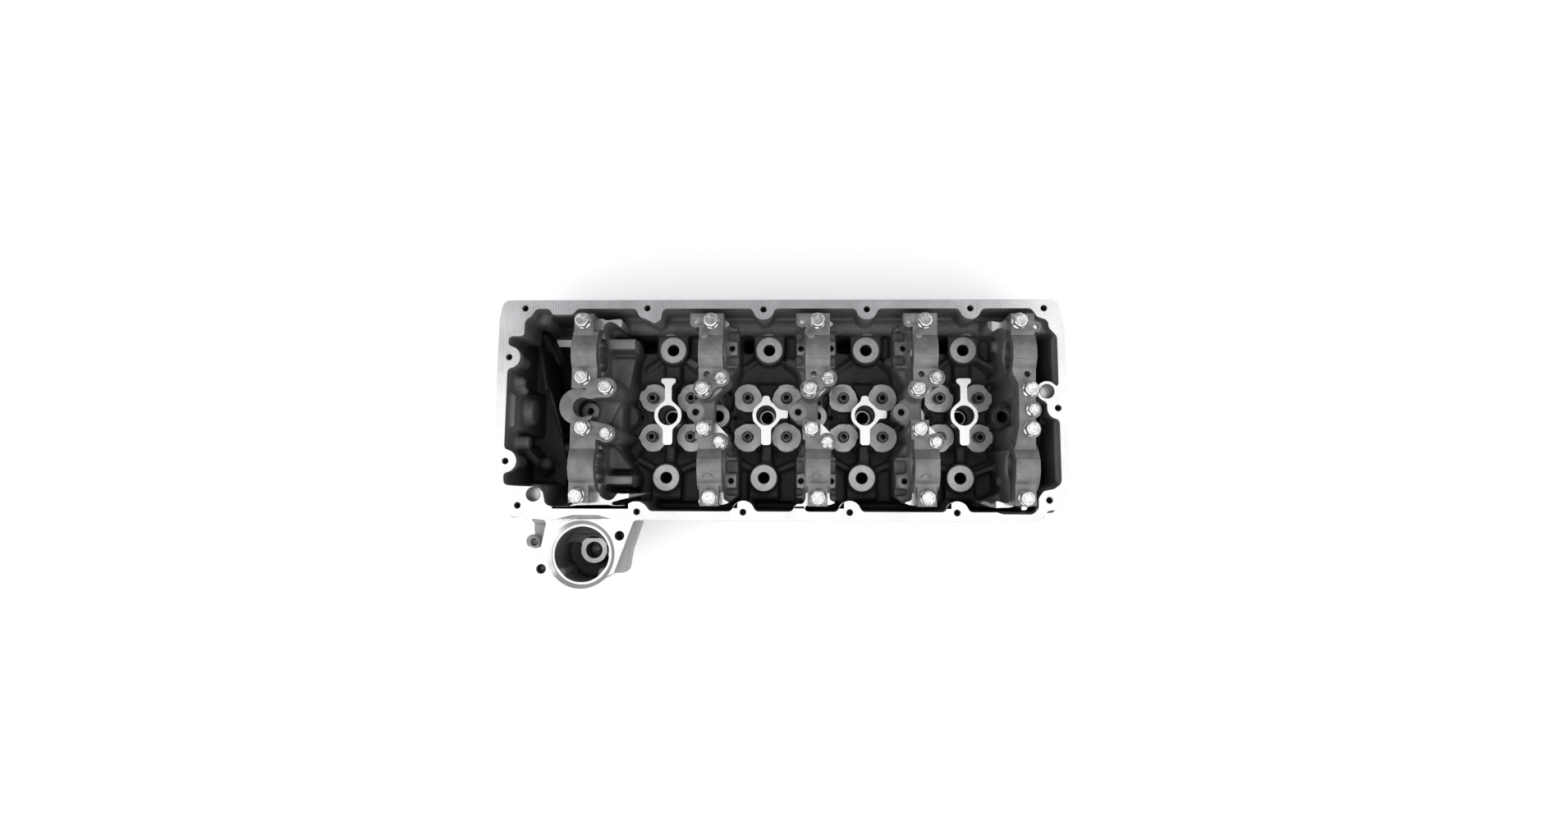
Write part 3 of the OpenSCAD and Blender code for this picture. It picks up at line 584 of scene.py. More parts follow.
def fill_holes(stock):
    """Plugs of metal where the sharp holes are drilled again later."""
    for x, y in COVER_HOLES:
        stock.post(x, y, 5, RIM_Z - 18, RIM_Z + 1)
    for p in TOWER_BOLTS + SMALL_BOLTS + CAP_PINS:
        stock.post(p.x, p.y, 5.5, 108, PARTING_Z + 1)
    for x, side in SPOT_FACES:
        stock.post(x, SIDE_PADS[side], 4.5, 102, SPOT_FACE_Z)
    for p in SIDE_HEAD_BOLTS:
        stock.post(p.x, p.y, HEAD_BOLT_R + 2, -1, BOLT_SEAT_Z + 1)
    for x in [*BEARINGS, *END_BOLTS]:
        stock.post(x, 0, HEAD_BOLT_R + 2, -1, FLOOR_Z)
    for v in VALVES:
        stock.post(v.x, v.y, 9.5, 26, SPRING_Z + 1)
    for p in (*PEDESTALS, FRONT_PEDESTAL):
        stock.post(p.x, p.y, 5, 98, PEDESTAL_Z + 1)
    for x, y, floor in HOUSING_HOLES:
        stock.post(x, y, 5.6, floor - 4, HOUSING_Z + 1)
    for p in row("middle_line_tapped_holes"):
        stock.post(p.x, 0, 6, 34, FLOOR_Z + 1)
    stock.post(OUTLET.x, OUTLET.y, 9.5, 60.2, 86)


def chamber_floor(stock):
    """Higher floor outside the valves, with the ribs that stiffen it."""
    stock.along_x([(34, 46), (38, 57), (46, 61), (70, 63), (90, 64), (90, 46)], -192, 190)
    stock.along_x([(-34, 46), (-38, 55), (-47, 59), (-70, 61), (-92, 62), (-92, 46)], -192, 190)
    for i, x in enumerate(CYLINDERS):
        inner = i in (1, 2)
        # diagonal ribs from the head bolt columns towards the bearing towers
        stock.web((x + 14, 64), (x + 40, 44), 6, 50, 69, 66)
        stock.web((x - 12, 62), (x - 30, 50), 6, 50, 67, 64)
        stock.web((x + 12, -58), (x + 40, -47), 7, 50, 66, 70)
        stock.web((x - 16, -57), (x - 36, -46), 7, 50, 66, 68)
        # neck between the injector keys and the bolt columns
        if inner:
            stock.taper([(x - 8, -56), (x + 8, -56), (x + 6, -30), (x - 6, -30)],
                        [(x - 6.5, -54), (x + 6.5, -54), (x + 4.4, -31), (x - 4.4, -31)], 50, 72)
            stock.post(x + 0.5, 37, 5, 50, 59)
        else:
            stock.taper([(x - 10, 66), (x + 13, 66), (x + 10, 38), (x - 8, 38)],
                        [(x - 7, 64), (x + 11, 64), (x + 8, 39), (x - 6, 39)], 50, 70)
        stock.taper([(x - 20, -92), (x + 15, -92), (x + 17, -60), (x - 22, -60)],
                    [(x - 18, -90), (x + 12, -90), (x + 13, -66), (x - 19, -66)], 50, 68)
        # bosses of the small tapped holes on the middle line
        stock.post(x - 35, 0, 7.4, 46, FLOOR_Z + 4, top=6)
    for x in BEARINGS:
        for sx in (-1, 1):
            stock.web((x + sx * 17, 16), (x + sx * 13, -16), 5, 48, 56)


def gallery_side(stock):
    """Oil gallery along the intake wall, and the columns under the cover's bosses."""
    stock.bar((-199, 94.5, 92), (196, 94.5, 92), 9.5)
    stock.bar((-203, 100, 88), (200, 100, 88), 7)
    for x, y in COVER_HOLES:
        inward = 1 if y > 95 else -1 if y < -95 else 0
        if inward:
            stock.post(x, y - inward * 1.5, 8.4, 74 if inward > 0 else 56, RIM_Z - 8, top=9.4)
            stock.ball(x, y - inward * 1.5, 76 if inward > 0 else 58, 8.2)
    stock.post(-17.2, -98, 5, 54, RIM_Z - 4)
    stock.prism([(-173, 93.1), (-163.5, 88.2), (-157.2, 92), (-155, 103), (-173, 103)], 88, RIM_Z - 4)
    for x, y in OIL_BORES:
        stock.post(x, y, 10, 70, RIM_Z - 4)


def side_blocks(number):
    """How far the tapped side blocks of a tower reach, and to which side."""
    left, right = ((11, 24.5), (20.5, 20.5), (24.5, 13))[number]
    return [(reach, sign) for reach, sign in ((left, -1), (right, 1)) if reach > 14]


def bearing_towers(stock):
    """Gussets, ridges and pads of the three towers between the cylinders."""
    for number, m in enumerate(BEARINGS):
        for side in (1, -1):
            for reach, sign in side_blocks(number):
                edge, root = m + sign * reach, m + sign * (12 if sign > 0 else 10)
                # thin ridges at both ends of the side block
                for y in (46.8, 86.6):
                    stock.block(*sorted((root, edge)), side * y - 1.4, side * y + 1.4, 60, 119)
                # wedge gusset running inwards
                tip = (m + sign * 13, side * 27)
                stock.taper([(root, side * 46), (edge + sign * 1, side * 46), (tip[0] + sign * 3, side * 26),
                             (tip[0] - sign * 2, side * 26)],
                            [(root, side * 47), (edge - sign * 2, side * 47), (tip[0] + sign * 1, side * 33),
                             (tip[0] - sign * 1, side * 33)], 50, 108)
            # web between the two inner bolts, and the slivers of the parting face beside the caps
            for low, turn, outline in PARTING_WEBS[side]:
                flip = -1 if turn and number == 2 else 1
                stock.prism([(m + flip * x, y) for x, y in outline], low, PARTING_Z + RAISED)
            # tower foot that spreads into the floor
            y0, y1 = sorted((side * 40, side * 90))
            stock.frustum((m - 14, m + 16, y0, y1), (m - 10, m + 12, y0, y1), 48, 84)
        # walls under the pedestal plate
        stock.web((m - 3, 13), (m - 3, 34), 7, 50, 100)
        stock.web((m - 5, -13), (m - 6, -36), 7, 50, 100)
        stock.web((m + 6, 21), (m + 6.4, -7), 1.6, 60, 102)
        stock.web((m - 31, 59), (m - 19, 51), 8, 56, 92, 102)


def front_end(stock):
    """Bearing tower beside the chain chamber."""
    for side in (1, -1):
        y = side * 70.2
        # flat pad behind the bearing, the narrow bar that joins it, and the ring at its end
        stock.block(-222, -208, y - 2.9, y + 2.9, 60, 118)
        stock.block(-209, -187.2, y - 4.5, y + 4.5, 60, 118)
        stock.bar((-190, y, 104), (-185.5, y, 104), 7.4)
        stock.frustum((-216, -188, y - 9, y + 9), (-214, -189, y - 6, y + 6), 48, 96)
        stock.bar((-219, side * CAM_Y, PARTING_Z), (-214.5, side * CAM_Y, PARTING_Z), 22, end_r=20.4)
    stock.taper([(-226, 62), (-190, 62), (-195, 24), (-211, 32), (-226, 36)],
                [(-224, 60), (-191, 60), (-196.6, 26), (-212, 35), (-222, 38.6)], 50, 98)
    stock.taper([(-226, -32), (-210, -32), (-190, -60), (-226, -60)],
                [(-224, -34), (-211, -34), (-192, -58), (-224, -58)], 50, 98)
    # plateau beside the tapped boss and the slanting facet at its end
    stock.prism([(-232, 11), (-202, 11), (-213.2, -12), (-230, -10.4)], 62, 112)
    stock.taper([(-218, -12), (-200, 20), (-200, -23)], [(-216, -10.6), (-201, 17.9), (-201.8, -20)], 56, 105)
    # parts of the parting face outside the bridge
    stock.prism([(-224, 94), (-219.8, 91.3), (-209.8, 92.8), (-196.6, 93.4), (-197.3, 82.5), (-203.4, 88.5),
                 (-209.8, 91), (-216.1, 87.3), (-224, 86)], 100, PARTING_Z + RAISED)
    stock.prism([(-226, -93.2), (-222, -82), (-207.5, -90.1), (-201.3, -88.2), (-197.8, -81.3),
                 (-195.9, -83.2), (-169.3, -82.2), (-168, -83.3), (-192.9, -88.8), (-207.4, -92.6)],
                100, PARTING_Z + RAISED)
    stock.ball(-213, 88, 96, 7)
    stock.ball(-204, 88, 94, 6.5)
    stock.block(-240, -200, 82, 92, 56, 88)
    stock.prism([(-217, -82), (-200, -82), (-198, -97), (-217, -97)], 56, 104)
    # cheeks of the tower that face the chain
    stock.prism([(-243, 62), (-236, 62), (-236, 92), (-243, 92)], 20, 118)
    stock.post(-247, 78, 5.5, 34, 112)
    stock.post(-249, 44, 6, 34, 96)
    stock.post(-247, 30, 7, 30, 86)


def chain_side(stock):
    """Walls, knobs and the tensioner boss inside the chain chamber."""
    # rib that runs down the slanting wall
    stock.web((-311, 100), (-291, 28), 5, 36, 62, 82)
    stock.web((-291, 28), (-279, -20), 4, 30, 70, 60)
    stock.web((-303, 96), (-286, 60), 4, 30, 56)
    # tensioner boss, its collar and the rounded block that carries it
    stock.bar((-314, 2, 95), (-298, 2, 95), 15, end_r=14)
    stock.bar((-299, 2, 95), (-295.5, 2, 95), 12.4)
    stock.taper([(-314, -24), (-300, -22), (-300, 24), (-314, 28)],
                [(-314, -19), (-306, -18), (-306, 20), (-314, 23)], 40, 118)
    stock.ball(-308, 32, 112, 6.5)
    stock.bar((-311, 25, 110), (-300, 22, 110), 3.6)
    stock.bar((-314, -31, 104), (-298, -31, 104), 7)
    stock.web((-312, -36), (-292, -62), 9, 50, 84, 68)
    stock.ball(-290, -52, 74, 8)
    stock.bar((-276, -34, 58), (-268, -34, 58), 6)
    stock.block(-313, -285, -86, -72, 30, 66)
    # upright lug in the corner
    stock.post(-289.5, 98.7, 7, 60, 108)
    stock.post(-284, 99, 7.5, 60, 112, top=7)
    stock.ball(-286, 99, 110, 7.5)


def rear_end(stock):
    """Bearing tower and corners at the rear."""
    stock.prism([(171.2, 91.6), (186, 89.3), (191, 92), (191, 84), (182, 83), (177.5, 79.5), (172.4, 82.5)],
                108, PARTING_Z + RAISED)
    stock.prism([(158.8, -90.4), (162.7, -88.9), (168, -89.2), (171.8, -91.5), (174.1, -91.7), (176.5, -88.4),
                 (186, -91.5), (191, -91), (191, -95.8), (174.8, -96.1), (168.7, -94.6)],
                104, PARTING_Z + RAISED)
    stock.prism([(172, 96), (172, 84), (184, 84), (191, 80), (191, 96)], 50, 106)
    stock.prism([(164, -96), (170, -90), (184, -84), (191, -80), (191, -96)], 50, 102)
    stock.web((197, 52), (190, 40), 6, 50, 100, 84)
    stock.web((197, -52), (190, -38), 6, 50, 100, 84)
    stock.web((170, 66), (190, 52), 6, 50, 74, 84)
    stock.web((170, -62), (190, -54), 6, 50, 72, 84)
    stock.bar((184, 72, 100), (192, 72, 100), 6.5)
    stock.bar((186, -70, 100), (192, -70, 100), 5)
    stock.web((200.3, 4), (200.3, 15), 3, 60, 84, 78)
    stock.post(234, -93, 9, 70, 118)
    stock.prism([(213, 80), (232, 80), (228, 98), (213, 99)], 60, 122)


def housing_side(stock):
    """Neck of the thermostat housing, the ribs under its flange and the ear on its chain side."""
    stock.bar((-232, -112, 92), (-232, -134, 92), 26)
    stock.web((-262, -110), (-268, -158), 6, 84, HOUSING_Z - 6)
    stock.post(-274, -157.9, 8, 106, HOUSING_Z + 1)
    stock.post(-196.4, -124.9, 8, 104, HOUSING_Z + 1)
    stock.prism([(-291, -107), (-291.9, -122), (-288.5, -127), (-283, -138), (-262, -134), (-262, -107)],
                84, 104)
    stock.prism([(-291, -107), (-291.9, -113), (-277.8, -115), (-262, -112), (-262, -107)], 84, 112)
    stock.post(EAR.x, EAR.y, 6.8, 90, 110)


def outer_ribs(stock):
    """Ribs and bosses on the outside walls."""
    for x in CYLINDERS:
        for root, wall in ((106, 110), (-103, -107)):
            stock.frustum((x - 46, x - 38, root, wall), (x - 44, x - 40, root, wall), 40, RIM_Z - 8)
    stock.block(-204, 205, 106, 111.5, 80, 88)
    for x in (-320, 246):
        for y in (-60, 0, 60):
            stock.block(x - 1.6, x + 1.2, y - 3, y + 3, 20 if x < 0 else 52, RIM_Z - 8)
    stock.bar((-321, -38, 78), (-318, -38, 78), 14)
    stock.bar((-322.5, 28, 118), (-318, 28, 118), 8)
    for x in BEARINGS:
        stock.bar((x, -106, 70), (x, -109, 70), 18)


def cast_pockets():
    """Hollows that the moulds leave, cut before the cast skin is smoothed."""
    pockets = Stock()
    for v in VALVES:
        pockets.turned([(0, 55.6), (SPRING_SEAT_R + 0.4, 55.6), (SPRING_SEAT_R + 0.4, 51),
                        (SPRING_SEAT_R + 2.6, 51), (SPRING_SEAT_R + 3.6, 66), (0, 66)], (v.x, v.y, 0))
    hollows = Stock()
    for x in CYLINDERS[1:3]:
        for side, reach in ((1, 38), (-1, -33)):
            half = ((22, 4.6), (27, 5.4), (33, 9.5), (abs(reach), 11))
            outline = [(x + w, side * y) for y, w in half] + [(x - w, side * y) for y, w in half[::-1]]
            hollows.prism(outline, 51, 66)
    sides = Stock()
    for number, m in enumerate(BEARINGS):
        for side in (1, -1):
            for reach, sign in side_blocks(number):
                x0, x1 = sorted((m + sign * 13.2, m + sign * (reach + 3)))
                pad = SIDE_PADS[side]
                for y0, y1 in ((side * 49, pad - side * 7.6), (pad + side * 7.6, side * 84.5)):
                    sides.block(x0, x1, *sorted((y0, y1)), 106, 124)
    for x0, x1 in DRAINS:
        sides.block(x0, x1, 71, 87.5, -6, 74)
    clear = Stock()
    for v in VALVES:
        clear.prism(seat_clearance(v), SPRING_Z + 1, 112)
    return [pockets, hollows, sides, clear]


def seat_clearance(valve):
    """Plan outline of the free space over a spring seat. It stops at the injector's ring and its arms."""
    centre = Vector((min(CYLINDERS, key=lambda x: abs(x - valve.x)), 0))
    points = []
    for i in range(40):
        a = 2 * math.pi * i / 40
        p = valve.xy + (SPRING_SEAT_R + 1) * Vector((math.cos(a), math.sin(a)))
        p.x = math.copysign(max(abs(p.x - centre.x), 6.2), valve.x - centre.x) + centre.x
        p.y = math.copysign(max(abs(p.y), 3.8), valve.y)
        apart = p - centre
        corner = centre + apart * max(1, 13.4 / apart.length)
        if not points or (corner - points[-1]).length > 0.05:
            points.append(corner)
    return points


def lugged_circle(radius, lugs):
    """Plan outline of the housing's bore, with round lugs left standing on its wall."""
    points = []
    for i in range(120):
        a = 2 * math.pi * i / 120
        reach = radius
        for degrees, lug_r in lugs:
            apart = a - math.radians(degrees)
            off = radius * math.sin(apart)
            if math.cos(apart) > 0 and abs(off) < lug_r:
                reach = min(reach, radius * math.cos(apart) - math.sqrt(lug_r ** 2 - off ** 2))
        points.append((HOUSING.x + reach * math.cos(a), HOUSING.y + reach * math.sin(a)))
    return points


def drilled_holes():
    """Cutters of the holes that are drilled from above."""
    drilled = Stock()
    for places, r, floor, top in (
            (COVER_HOLES, 2.6, RIM_Z - 16, RIM_Z),
            (OIL_BORES, 6.6, RIM_Z - 12, RIM_Z),
            (TOWER_BOLTS, 4.0, 112, PARTING_Z),
            (SMALL_BOLTS, 3.0, 116, PARTING_Z),
            (CAP_PINS, 2.5, 126, PARTING_Z),
            ((*PEDESTALS, FRONT_PEDESTAL), 3.0, PEDESTAL_Z - 18, PEDESTAL_Z),
            (row("middle_line_tapped_holes"), 3.0, FLOOR_Z - 14, FLOOR_Z + 4),
            ([(x, SIDE_PADS[side]) for x, side in SPOT_FACES], 2.5, 104, SPOT_FACE_Z),
            (SIDE_HEAD_BOLTS, HEAD_BOLT_R, -20, BOLT_SEAT_Z),
            ([(x, 0) for x in (*BEARINGS, END_BOLTS[1])], HEAD_BOLT_R, -20, BOLT_SEAT_Z),
            ([(END_BOLTS[0], 0)], HEAD_BOLT_R, -20, FLOOR_Z)):
        for p in places:
            drilled.hole(p[0], p[1], r, floor, top)
    for x, y, floor in HOUSING_HOLES:
        drilled.hole(x, y, 4.1, floor, HOUSING_Z)
    drilled.hole(EAR.x, EAR.y, 3.4, 80, 110)
    drilled.hole(OUTLET.x, OUTLET.y, 8, 66, 87)
    for v in VALVES:
        drilled.post(v.x, v.y, 6.0, 30, SPRING_Z + 1, "bored")
    return drilled


def gasket_face_holes():
    """Cutters of the valve throats, injector holes, coolant holes and dowel bores in the gasket face."""
    deck = Stock()
    for v in VALVES:
        r = 16.5 if v.y > 0 else 15.0
        deck.turned([(r, -4), (r, 7), (r - 3.5, 7), (r - 3.5, 26), (0, 26)], (v.x, v.y, 0), finish="bored")
    for x in CYLINDERS:
        deck.turned([(4, -4), (4, 13), (8, 13), (8, 45)], (x, 0, 0), finish="bored")
    for x in BEARINGS:
        for y in (-46, -28, 28, 46):
            deck.post(x, y, 4.5 if abs(y) > 40 else 6, -4, 30, "bored")
    for x in END_BOLTS:
        for y in (-30, 30):
            deck.post(x, y, 6, -4, 30, "bored")
    for x in (-232, 226):
        deck.post(x, 60, 8, -4, 9, "bored")
    return deck


def machining():
    """Cutters of every machined face and hole, in the order in which they are used."""
    faces = Stock()
    faces.block(-340, 265, -112, 118, RIM_Z, RIM_Z + 20, "milled")
    faces.block(-340, 265, -112, 118, -20, 0, "milled")
    for x in CYLINDERS:
        faces.block(x - 14.5, x + 25, -33, 41, INJECTOR_Z, 104, "keys")
    faces.block(-262, -186, -98, 96, PARTING_Z, RIM_Z, "milled")
    faces.block(176, 216, -98, 99, PARTING_Z, RIM_Z, "milled")
    for m in BEARINGS:
        faces.block(m - 22, m + 27, -97, 96, PARTING_Z, RIM_Z, "milled")
    seats = Stock()
    for v in VALVES:
        seats.post(v.x, v.y, SPRING_SEAT_R + 1, SPRING_Z, 66, "spring_seat")
        seats.prism(seat_clearance(v), SPRING_Z + 4, 112, "spring_seat")
    for p in SIDE_HEAD_BOLTS:
        seats.post(p.x, p.y, BOLT_SEAT_R, BOLT_SEAT_Z, 96, "bolt_seat")
    for x in BEARINGS:
        seats.post(x, 0, 12.4, BOLT_SEAT_Z, 108, "bolt_seat")
    seats.post(200.3, 1.2, 7.6, BOLT_SEAT_Z, 96, "bored")
    for p in (*PEDESTALS, FRONT_PEDESTAL):
        seats.post(p.x, p.y, 9.2, PEDESTAL_Z, PARTING_Z + 4, "pad")
    for x, side in SPOT_FACES:
        seats.post(x, SIDE_PADS[side], 7.3, SPOT_FACE_Z, 124, "pad")
    for side in (1, -1):
        seats.block(-225, -187, side * 70.2 - 5.2, side * 70.2 + 5.2, SPOT_FACE_Z, 122, "cap")
    seats.prism([(-290, -108), (-160, -108), (-160, -190), (-290, -190)], HOUSING_Z, RIM_Z + 1, "milled")
    arcs = Stock()
    arcs.post(HOUSING.x, HOUSING.y, HOUSING_R + 2.4, HOUSING_Z, RIM_Z + 2, "milled")
    for side in (1, -1):
        y = side * CAM_Y
        arcs.bar((-262, y, PARTING_Z), (-200, y, PARTING_Z), FRONT_CAM_R, "bearing")
        arcs.bar((180, y, PARTING_Z), (222, y, PARTING_Z), CAM_R, "bearing")
        for m in BEARINGS:
            arcs.bar((m - 30, y, PARTING_Z), (m + 30, y, PARTING_Z), CAM_R, "bearing")
    for x in CYLINDERS:
        arcs.turned([(0, 40), (10, 40), (10, INJECTOR_Z - 0.8), (10.8, INJECTOR_Z), (10.8, INJECTOR_Z + 4)],
                    (x, 0, 0), finish="bored")
    housing = Stock()
    housing.prism(lugged_circle(HOUSING_BORE_R, HOUSING_LUGS), 90, HOUSING_LIP_Z + 1, "cast")
    housing.block(OUTLET.x - 16, OUTLET.x + 16, OUTLET.y + 12.2, OUTLET.y + 16, 80, 92, "cast")
    outlet = Stock()
    outlet.post(OUTLET.x, OUTLET.y, 14.8, 87, 93, "bolt_seat")
    lip = Stock()
    lip.turned([(0, HOUSING_LIP_Z), (HOUSING_LIP_R, HOUSING_LIP_Z), (HOUSING_LIP_R + 0.4, HOUSING_LIP_Z + 1),
                (HOUSING_R, HOUSING_Z), (HOUSING_R, HOUSING_Z + 4)], (*HOUSING, 0), sides=96, finish="milled")
    return [faces, seats, arcs, drilled_holes(), gasket_face_holes(), housing, outlet, lip]


def skin_of(center):
    """Finish of the cast skin at a place: the darker copy, which is painted shade, inside the chamber and the
    housing; the lighter one outside.
    """
    x, y, z = center
    low_y, high_y = (-101, 103.5) if z > FLOOR_Z - 1 else (-90.5, 97 if x > -262 else 101)
    high_x = 238.5 if z > FLOOR_Z - 1 else 229
    inside = -313.5 < x < high_x and low_y < y < high_y and z > 2
    in_housing = (Vector((x, y)) - HOUSING).length < 31 and z > 60
    return "cast" if inside or in_housing else "cast_outside"


def casting():
    """The one-piece head casting: cast shape first, then its machined faces and holes."""
    stock = raw_stock()
    for add in (fill_holes, chamber_floor, gallery_side, bearing_towers, front_end, chain_side, rear_end,
                housing_side, outer_ribs):
        add(stock)
    head = stock.piece("head_casting")
    reshape(head, "REMESH", mode="VOXEL", voxel_size=FIRST_GRAIN * MM)
    for pockets in cast_pockets():
        cut(head, pockets)
    reshape(head, "REMESH", mode="VOXEL", voxel_size=CAST_GRAIN * MM)
    reshape(head, "SMOOTH", factor=0.5, iterations=4)
    reshape(head, "DECIMATE", ratio=KEPT_FACES)
    for cutters in machining():
        cut(head, cutters)
    names = [m.name for m in head.data.materials]
    outside = FINISHES["cast_outside"]
    if outside.name not in names:
        head.data.materials.append(outside)
        names.append(outside.name)
    inner = names.index(FINISHES["cast"].name)
    outer = names.index(outside.name)
    # faces outside the chamber get the lighter skin; the darker copy stays inside as painted shade
    for face in head.data.polygons:
        if face.material_index == inner and skin_of(face.center / MM) == "cast_outside":
            face.material_index = outer
    sharpen(head)
    return finish_piece(head, "cast_aluminium", *CASTING)


# ---------------------------------------------------------------- bearing caps and bridges


def cap_arc(stock, x, y, z, r, spread, width, direction):
    """Thin raised arc on a cap, as the casting mould leaves it."""
    steps = 10
    rings = []
    for i in range(steps + 1):
        a = math.radians(direction - spread + 2 * spread * i / steps)
        ring = []
        for reach, lift in ((-width, -1.0), (-width * 0.4, 0.45), (width * 0.4, 0.45), (width, -1.0)):
            ring.append((x + (r + reach) * math.cos(a), y + (r + reach) * math.sin(a), z + lift))
        rings.append(ring)
    stock.close(rings, "cap")


def cap_copy(node):
    """A cap's or a bridge's shape from the CAD, with soft edges."""
    stock = Stock()
    stock.finishes = ["cap"]
    stock.take(node)
    bmesh.ops.remove_doubles(stock.mesh, verts=stock.mesh.verts[:], dist=0.002)
    bmesh.ops.dissolve_limit(stock.mesh, angle_limit=math.radians(1), verts=stock.mesh.verts[:],
                             edges=stock.mesh.edges[:])
    piece = stock.piece(node + "_shape")
    reshape(piece, "BEVEL", width=0.7 * MM, segments=2, limit_method="ANGLE", angle_limit=math.radians(34),
            use_clamp_overlap=True, harden_normals=False)
    return piece


def caps():
    """Bearing caps and bridges with their raised arcs."""
    for node in frame["nodes"]:
        if not ("bearing_cap" in node or "bearing_bridge" in node):
            continue
        piece = cap_copy(node)
        sharpen(piece, 30)
        finish_piece(piece, "machined_aluminium", node)
    marks = Stock()
    marks.finishes = ["cap"]
    for m in BEARINGS:
        cap_arc(marks, m + 1, 36, CAP_Z, 5.4, 42, 0.7, 90)
        cap_arc(marks, m - 0.6, -67.5, CAP_Z + 5.2, 4.6, 80, 0.6, 90)
    cap_arc(marks, -229, 36, CAP_Z, 7.5, 50, 0.8, 90)
    cap_arc(marks, 205, 37, CAP_Z, 5.4, 46, 0.7, 90)
    piece = marks.piece("cap_arcs")
    sharpen(piece, 50)
    finish_piece(piece, "machined_aluminium")


# ---------------------------------------------------------------- bolts


# Thread radius, flange radius, width across the flats and height of the head
M8_BOLT = (4.0, 8.3, 13, 8.0)
M6_BOLT = (3.0, 7.0, 10, 6.5)


def ring_of(at, radius, height, sides=48):
    """Ring of points round an upright axis; the radius is a number or a formula of the angle."""
    points = []
    for i in range(sides):
        a = 2 * math.pi * i / sides
        r = radius(a) if callable(radius) else radius
        points.append((at.x + r * math.cos(a), at.y + r * math.sin(a), at.z + height))
    return points


def flange_bolt(stock, at, thread_r, flange_r, flats, head, turn, length=44):
    """Flange bolt: chamfered hexagon head with a dished top on a round flange."""

    def hexed(limit):
        def radius(a):
            apart = (a - turn + math.pi / 6) % (math.pi / 3) - math.pi / 6
            return min(flats / 2 / math.cos(apart), limit)
        return radius

    corner = flats / math.sqrt(3)
    across = flats / 2
    profile = ((thread_r - 0.5, -length), (thread_r, 0.6 - length), (thread_r, 0), (flange_r - 0.3, 0),
               (flange_r, 0.4), (flange_r, 1.3), (flange_r - 0.35, 1.75), (hexed(corner), 2.5),
               (hexed(corner), head - 1.5), (hexed(across * 1.06), head - 0.75), (across * 0.97, head - 0.2),
               (across * 0.9, head), (across * 0.74, head), (across * 0.68, head - 0.35),
               (across * 0.4, head - 0.4), (0.05, head - 0.4))
    stock.close([ring_of(at, radius, height) for radius, height in profile], "zinc")
    for i in range(3):
        a = turn + math.radians(24 * (i - 1))
        x, y = at.x + across * 0.36 * math.cos(a), at.y + across * 0.36 * math.sin(a)
        stock.bar((x, y, at.z + head - 1.4), (x, y, at.z + head - 0.55), 0.42, "zinc")
    x, y = at.x - across * 0.3 * math.cos(turn), at.y - across * 0.3 * math.sin(turn)
    low, high = head - 1.4, head - 0.6
    stock.turned([(1.5, low), (1.5, high), (1.0, high), (1.0, low), (1.5, low)], (x, y, at.z), sides=20,
                 finish="zinc")


def bolts():
    """Cap bolts, one piece for each CAD node. Each bolt is turned as it happened to stop."""
    chance = random.Random(SEED)
    for node in ("front_bridge_bolts", "upper_cap_bolts", "lower_cap_bolts", "rear_bridge_bolts",
                 "small_cap_bolts"):
        size = M6_BOLT if node == "small_cap_bolts" else M8_BOLT
        stock = Stock()
        stock.finishes = ["zinc"]
        for low, high in solids_of(node):
            at = Vector(((low.x + high.x) / 2, (low.y + high.y) / 2, CAP_Z))
            flange_bolt(stock, at, *size, chance.uniform(0, math.tau), CAP_Z - low.z)
        piece = stock.piece(node + "_shape")
        sharpen(piece, 28)
        finish_piece(piece, "zinc_plated_steel", node)


# ---------------------------------------------------------------- pieces kept from the CAD

KEPT = {
    "iron": ("intake_valve_guides", "exhaust_valve_guides"),
    "seat_steel": ("intake_seat_rings", "exhaust_seat_rings"),
    "sleeve": ("injector_sleeves",),
    "pin": ("cap_dowel_pins", "chain_guide_pins", "deck_ring_dowels"),
    "plug": ("oil_bore_plugs", "left_wall_plug", "rear_core_plugs", "exhaust_side_core_plugs",
             "gallery_end_plug"),
}


def kept_pieces():
    """Finishes of the CAD pieces that are shown as they are."""
    for finish, nodes in KEPT.items():
        for node in nodes:
            data = frame["nodes"][node].data
            data.materials.clear()
            data.materials.append(FINISHES[finish])


casting()
caps()
bolts()
kept_pieces()


# ---------------------------------------------------------------- light, floor and camera


def panel(name, place, size_x, size_y, power):
    """Rectangular lamp that shines straight down."""
    light = bpy.data.lights.new(name, "AREA")
    light.shape = "RECTANGLE"
    light.size = size_x
    light.size_y = size_y
    light.energy = power
    lamp = bpy.data.objects.new(name, light)
    bpy.context.scene.collection.objects.link(lamp)
    lamp.location = place


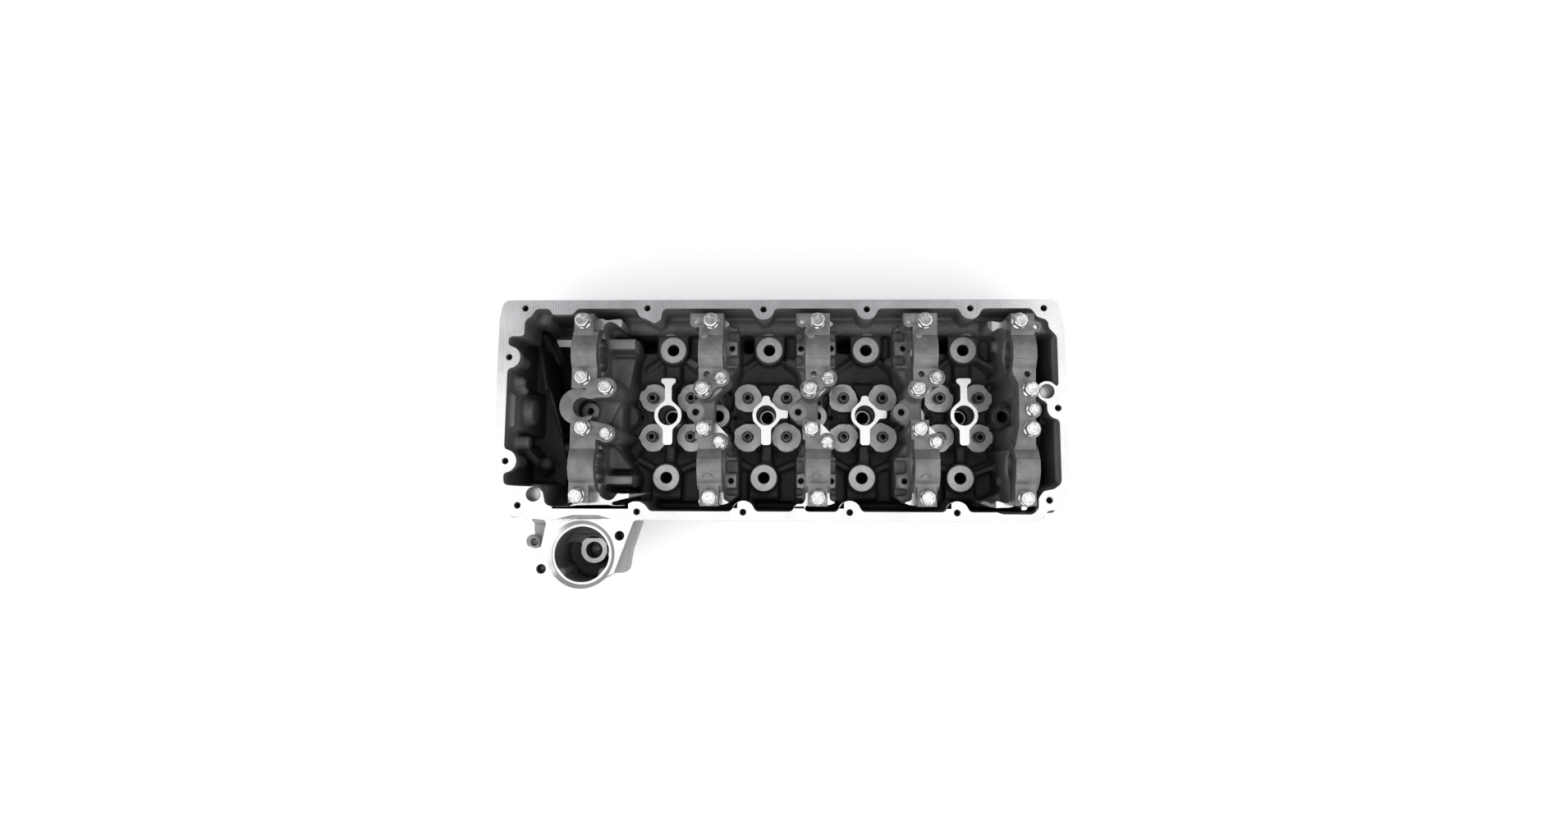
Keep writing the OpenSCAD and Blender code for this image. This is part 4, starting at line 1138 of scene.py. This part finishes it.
def sheet(name, place, half_x, half_y, finish):
    """Flat rectangle that isn't part of the head."""
    mesh = bmesh.new()
    spread = Matrix.Diagonal((half_x, half_y, 1, 1))
    bmesh.ops.create_grid(mesh, x_segments=2, y_segments=2, size=1, matrix=spread)
    data = bpy.data.meshes.new(name)
    mesh.to_mesh(data)
    mesh.free()
    data.materials.append(finish.material)
    flat = bpy.data.objects.new(name, data)
    flat.location = place
    bpy.context.scene.collection.objects.link(flat)
    return flat


def studio():
    """Pale floor, broad soft panels overhead and a dim grey room. Metres."""
    scene = bpy.context.scene
    panel("overhead_panel", (0, -1.4, 1.75), 5.0, 3.3, 78)
    for name, x in (("right_panel", 1.25), ("left_panel", -1.6)):
        panel(name, (x, 0.75, 1.76), 1.2, 1.0, 5.2)
    world = bpy.data.worlds.new("room")
    scene.world = world
    world.use_nodes = True
    background = world.node_tree.nodes["Background"]
    background.inputs["Color"].default_value = (0.93, 0.96, 1.0, 1)
    background.inputs["Strength"].default_value = 0.5
    paper = Finish("pale_floor", 0.0, 0.2)
    paper.paint(paper.noise(300), [(0.3, 0.9), (0.7, 0.93)])
    paper.shader.inputs["Roughness"].default_value = 0.9
    paper.shader.inputs["Emission Color"].default_value = (1, 1, 1, 1)
    paper.shader.inputs["Emission Strength"].default_value = 0.14
    shadow_sheet = Finish("black_cloth", 0.0, 0.1)
    shadow_sheet.paint(shadow_sheet.noise(2), [(0.3, 0.01), (0.7, 0.02)])
    # painted shadow: a black sheet, all hidden under the head, keeps its through holes black in place of the
    # shade under them
    sheet("floor", (0, 0, cad_box[0].z - 0.0005), 5, 5, paper)
    sheet("cloth_under_head", (-0.042, 0, cad_box[0].z - 0.0002), 0.274, 0.09, shadow_sheet)
    scene.view_settings.view_transform = "Standard"


def camera():
    """Wide lens close above the head, a little towards the exhaust side."""
    lens = bpy.data.cameras.new("camera")
    lens.lens = 17.743
    lens.sensor_width = 36
    lens.clip_start = 0.01
    eye = bpy.data.objects.new("camera", lens)
    roll, tilt, lean = -0.0031653, -0.1004908, -0.0216766
    turn = Matrix.Rotation(roll, 3, "Z") @ Matrix.Rotation(tilt, 3, "X") @ Matrix.Rotation(lean, 3, "Y")
    eye.matrix_world = Matrix.Translation((-0.015729, -0.077426, 0.905853)) @ turn.transposed().to_4x4()
    bpy.context.scene.collection.objects.link(eye)
    bpy.context.scene.camera = eye


studio()
camera()
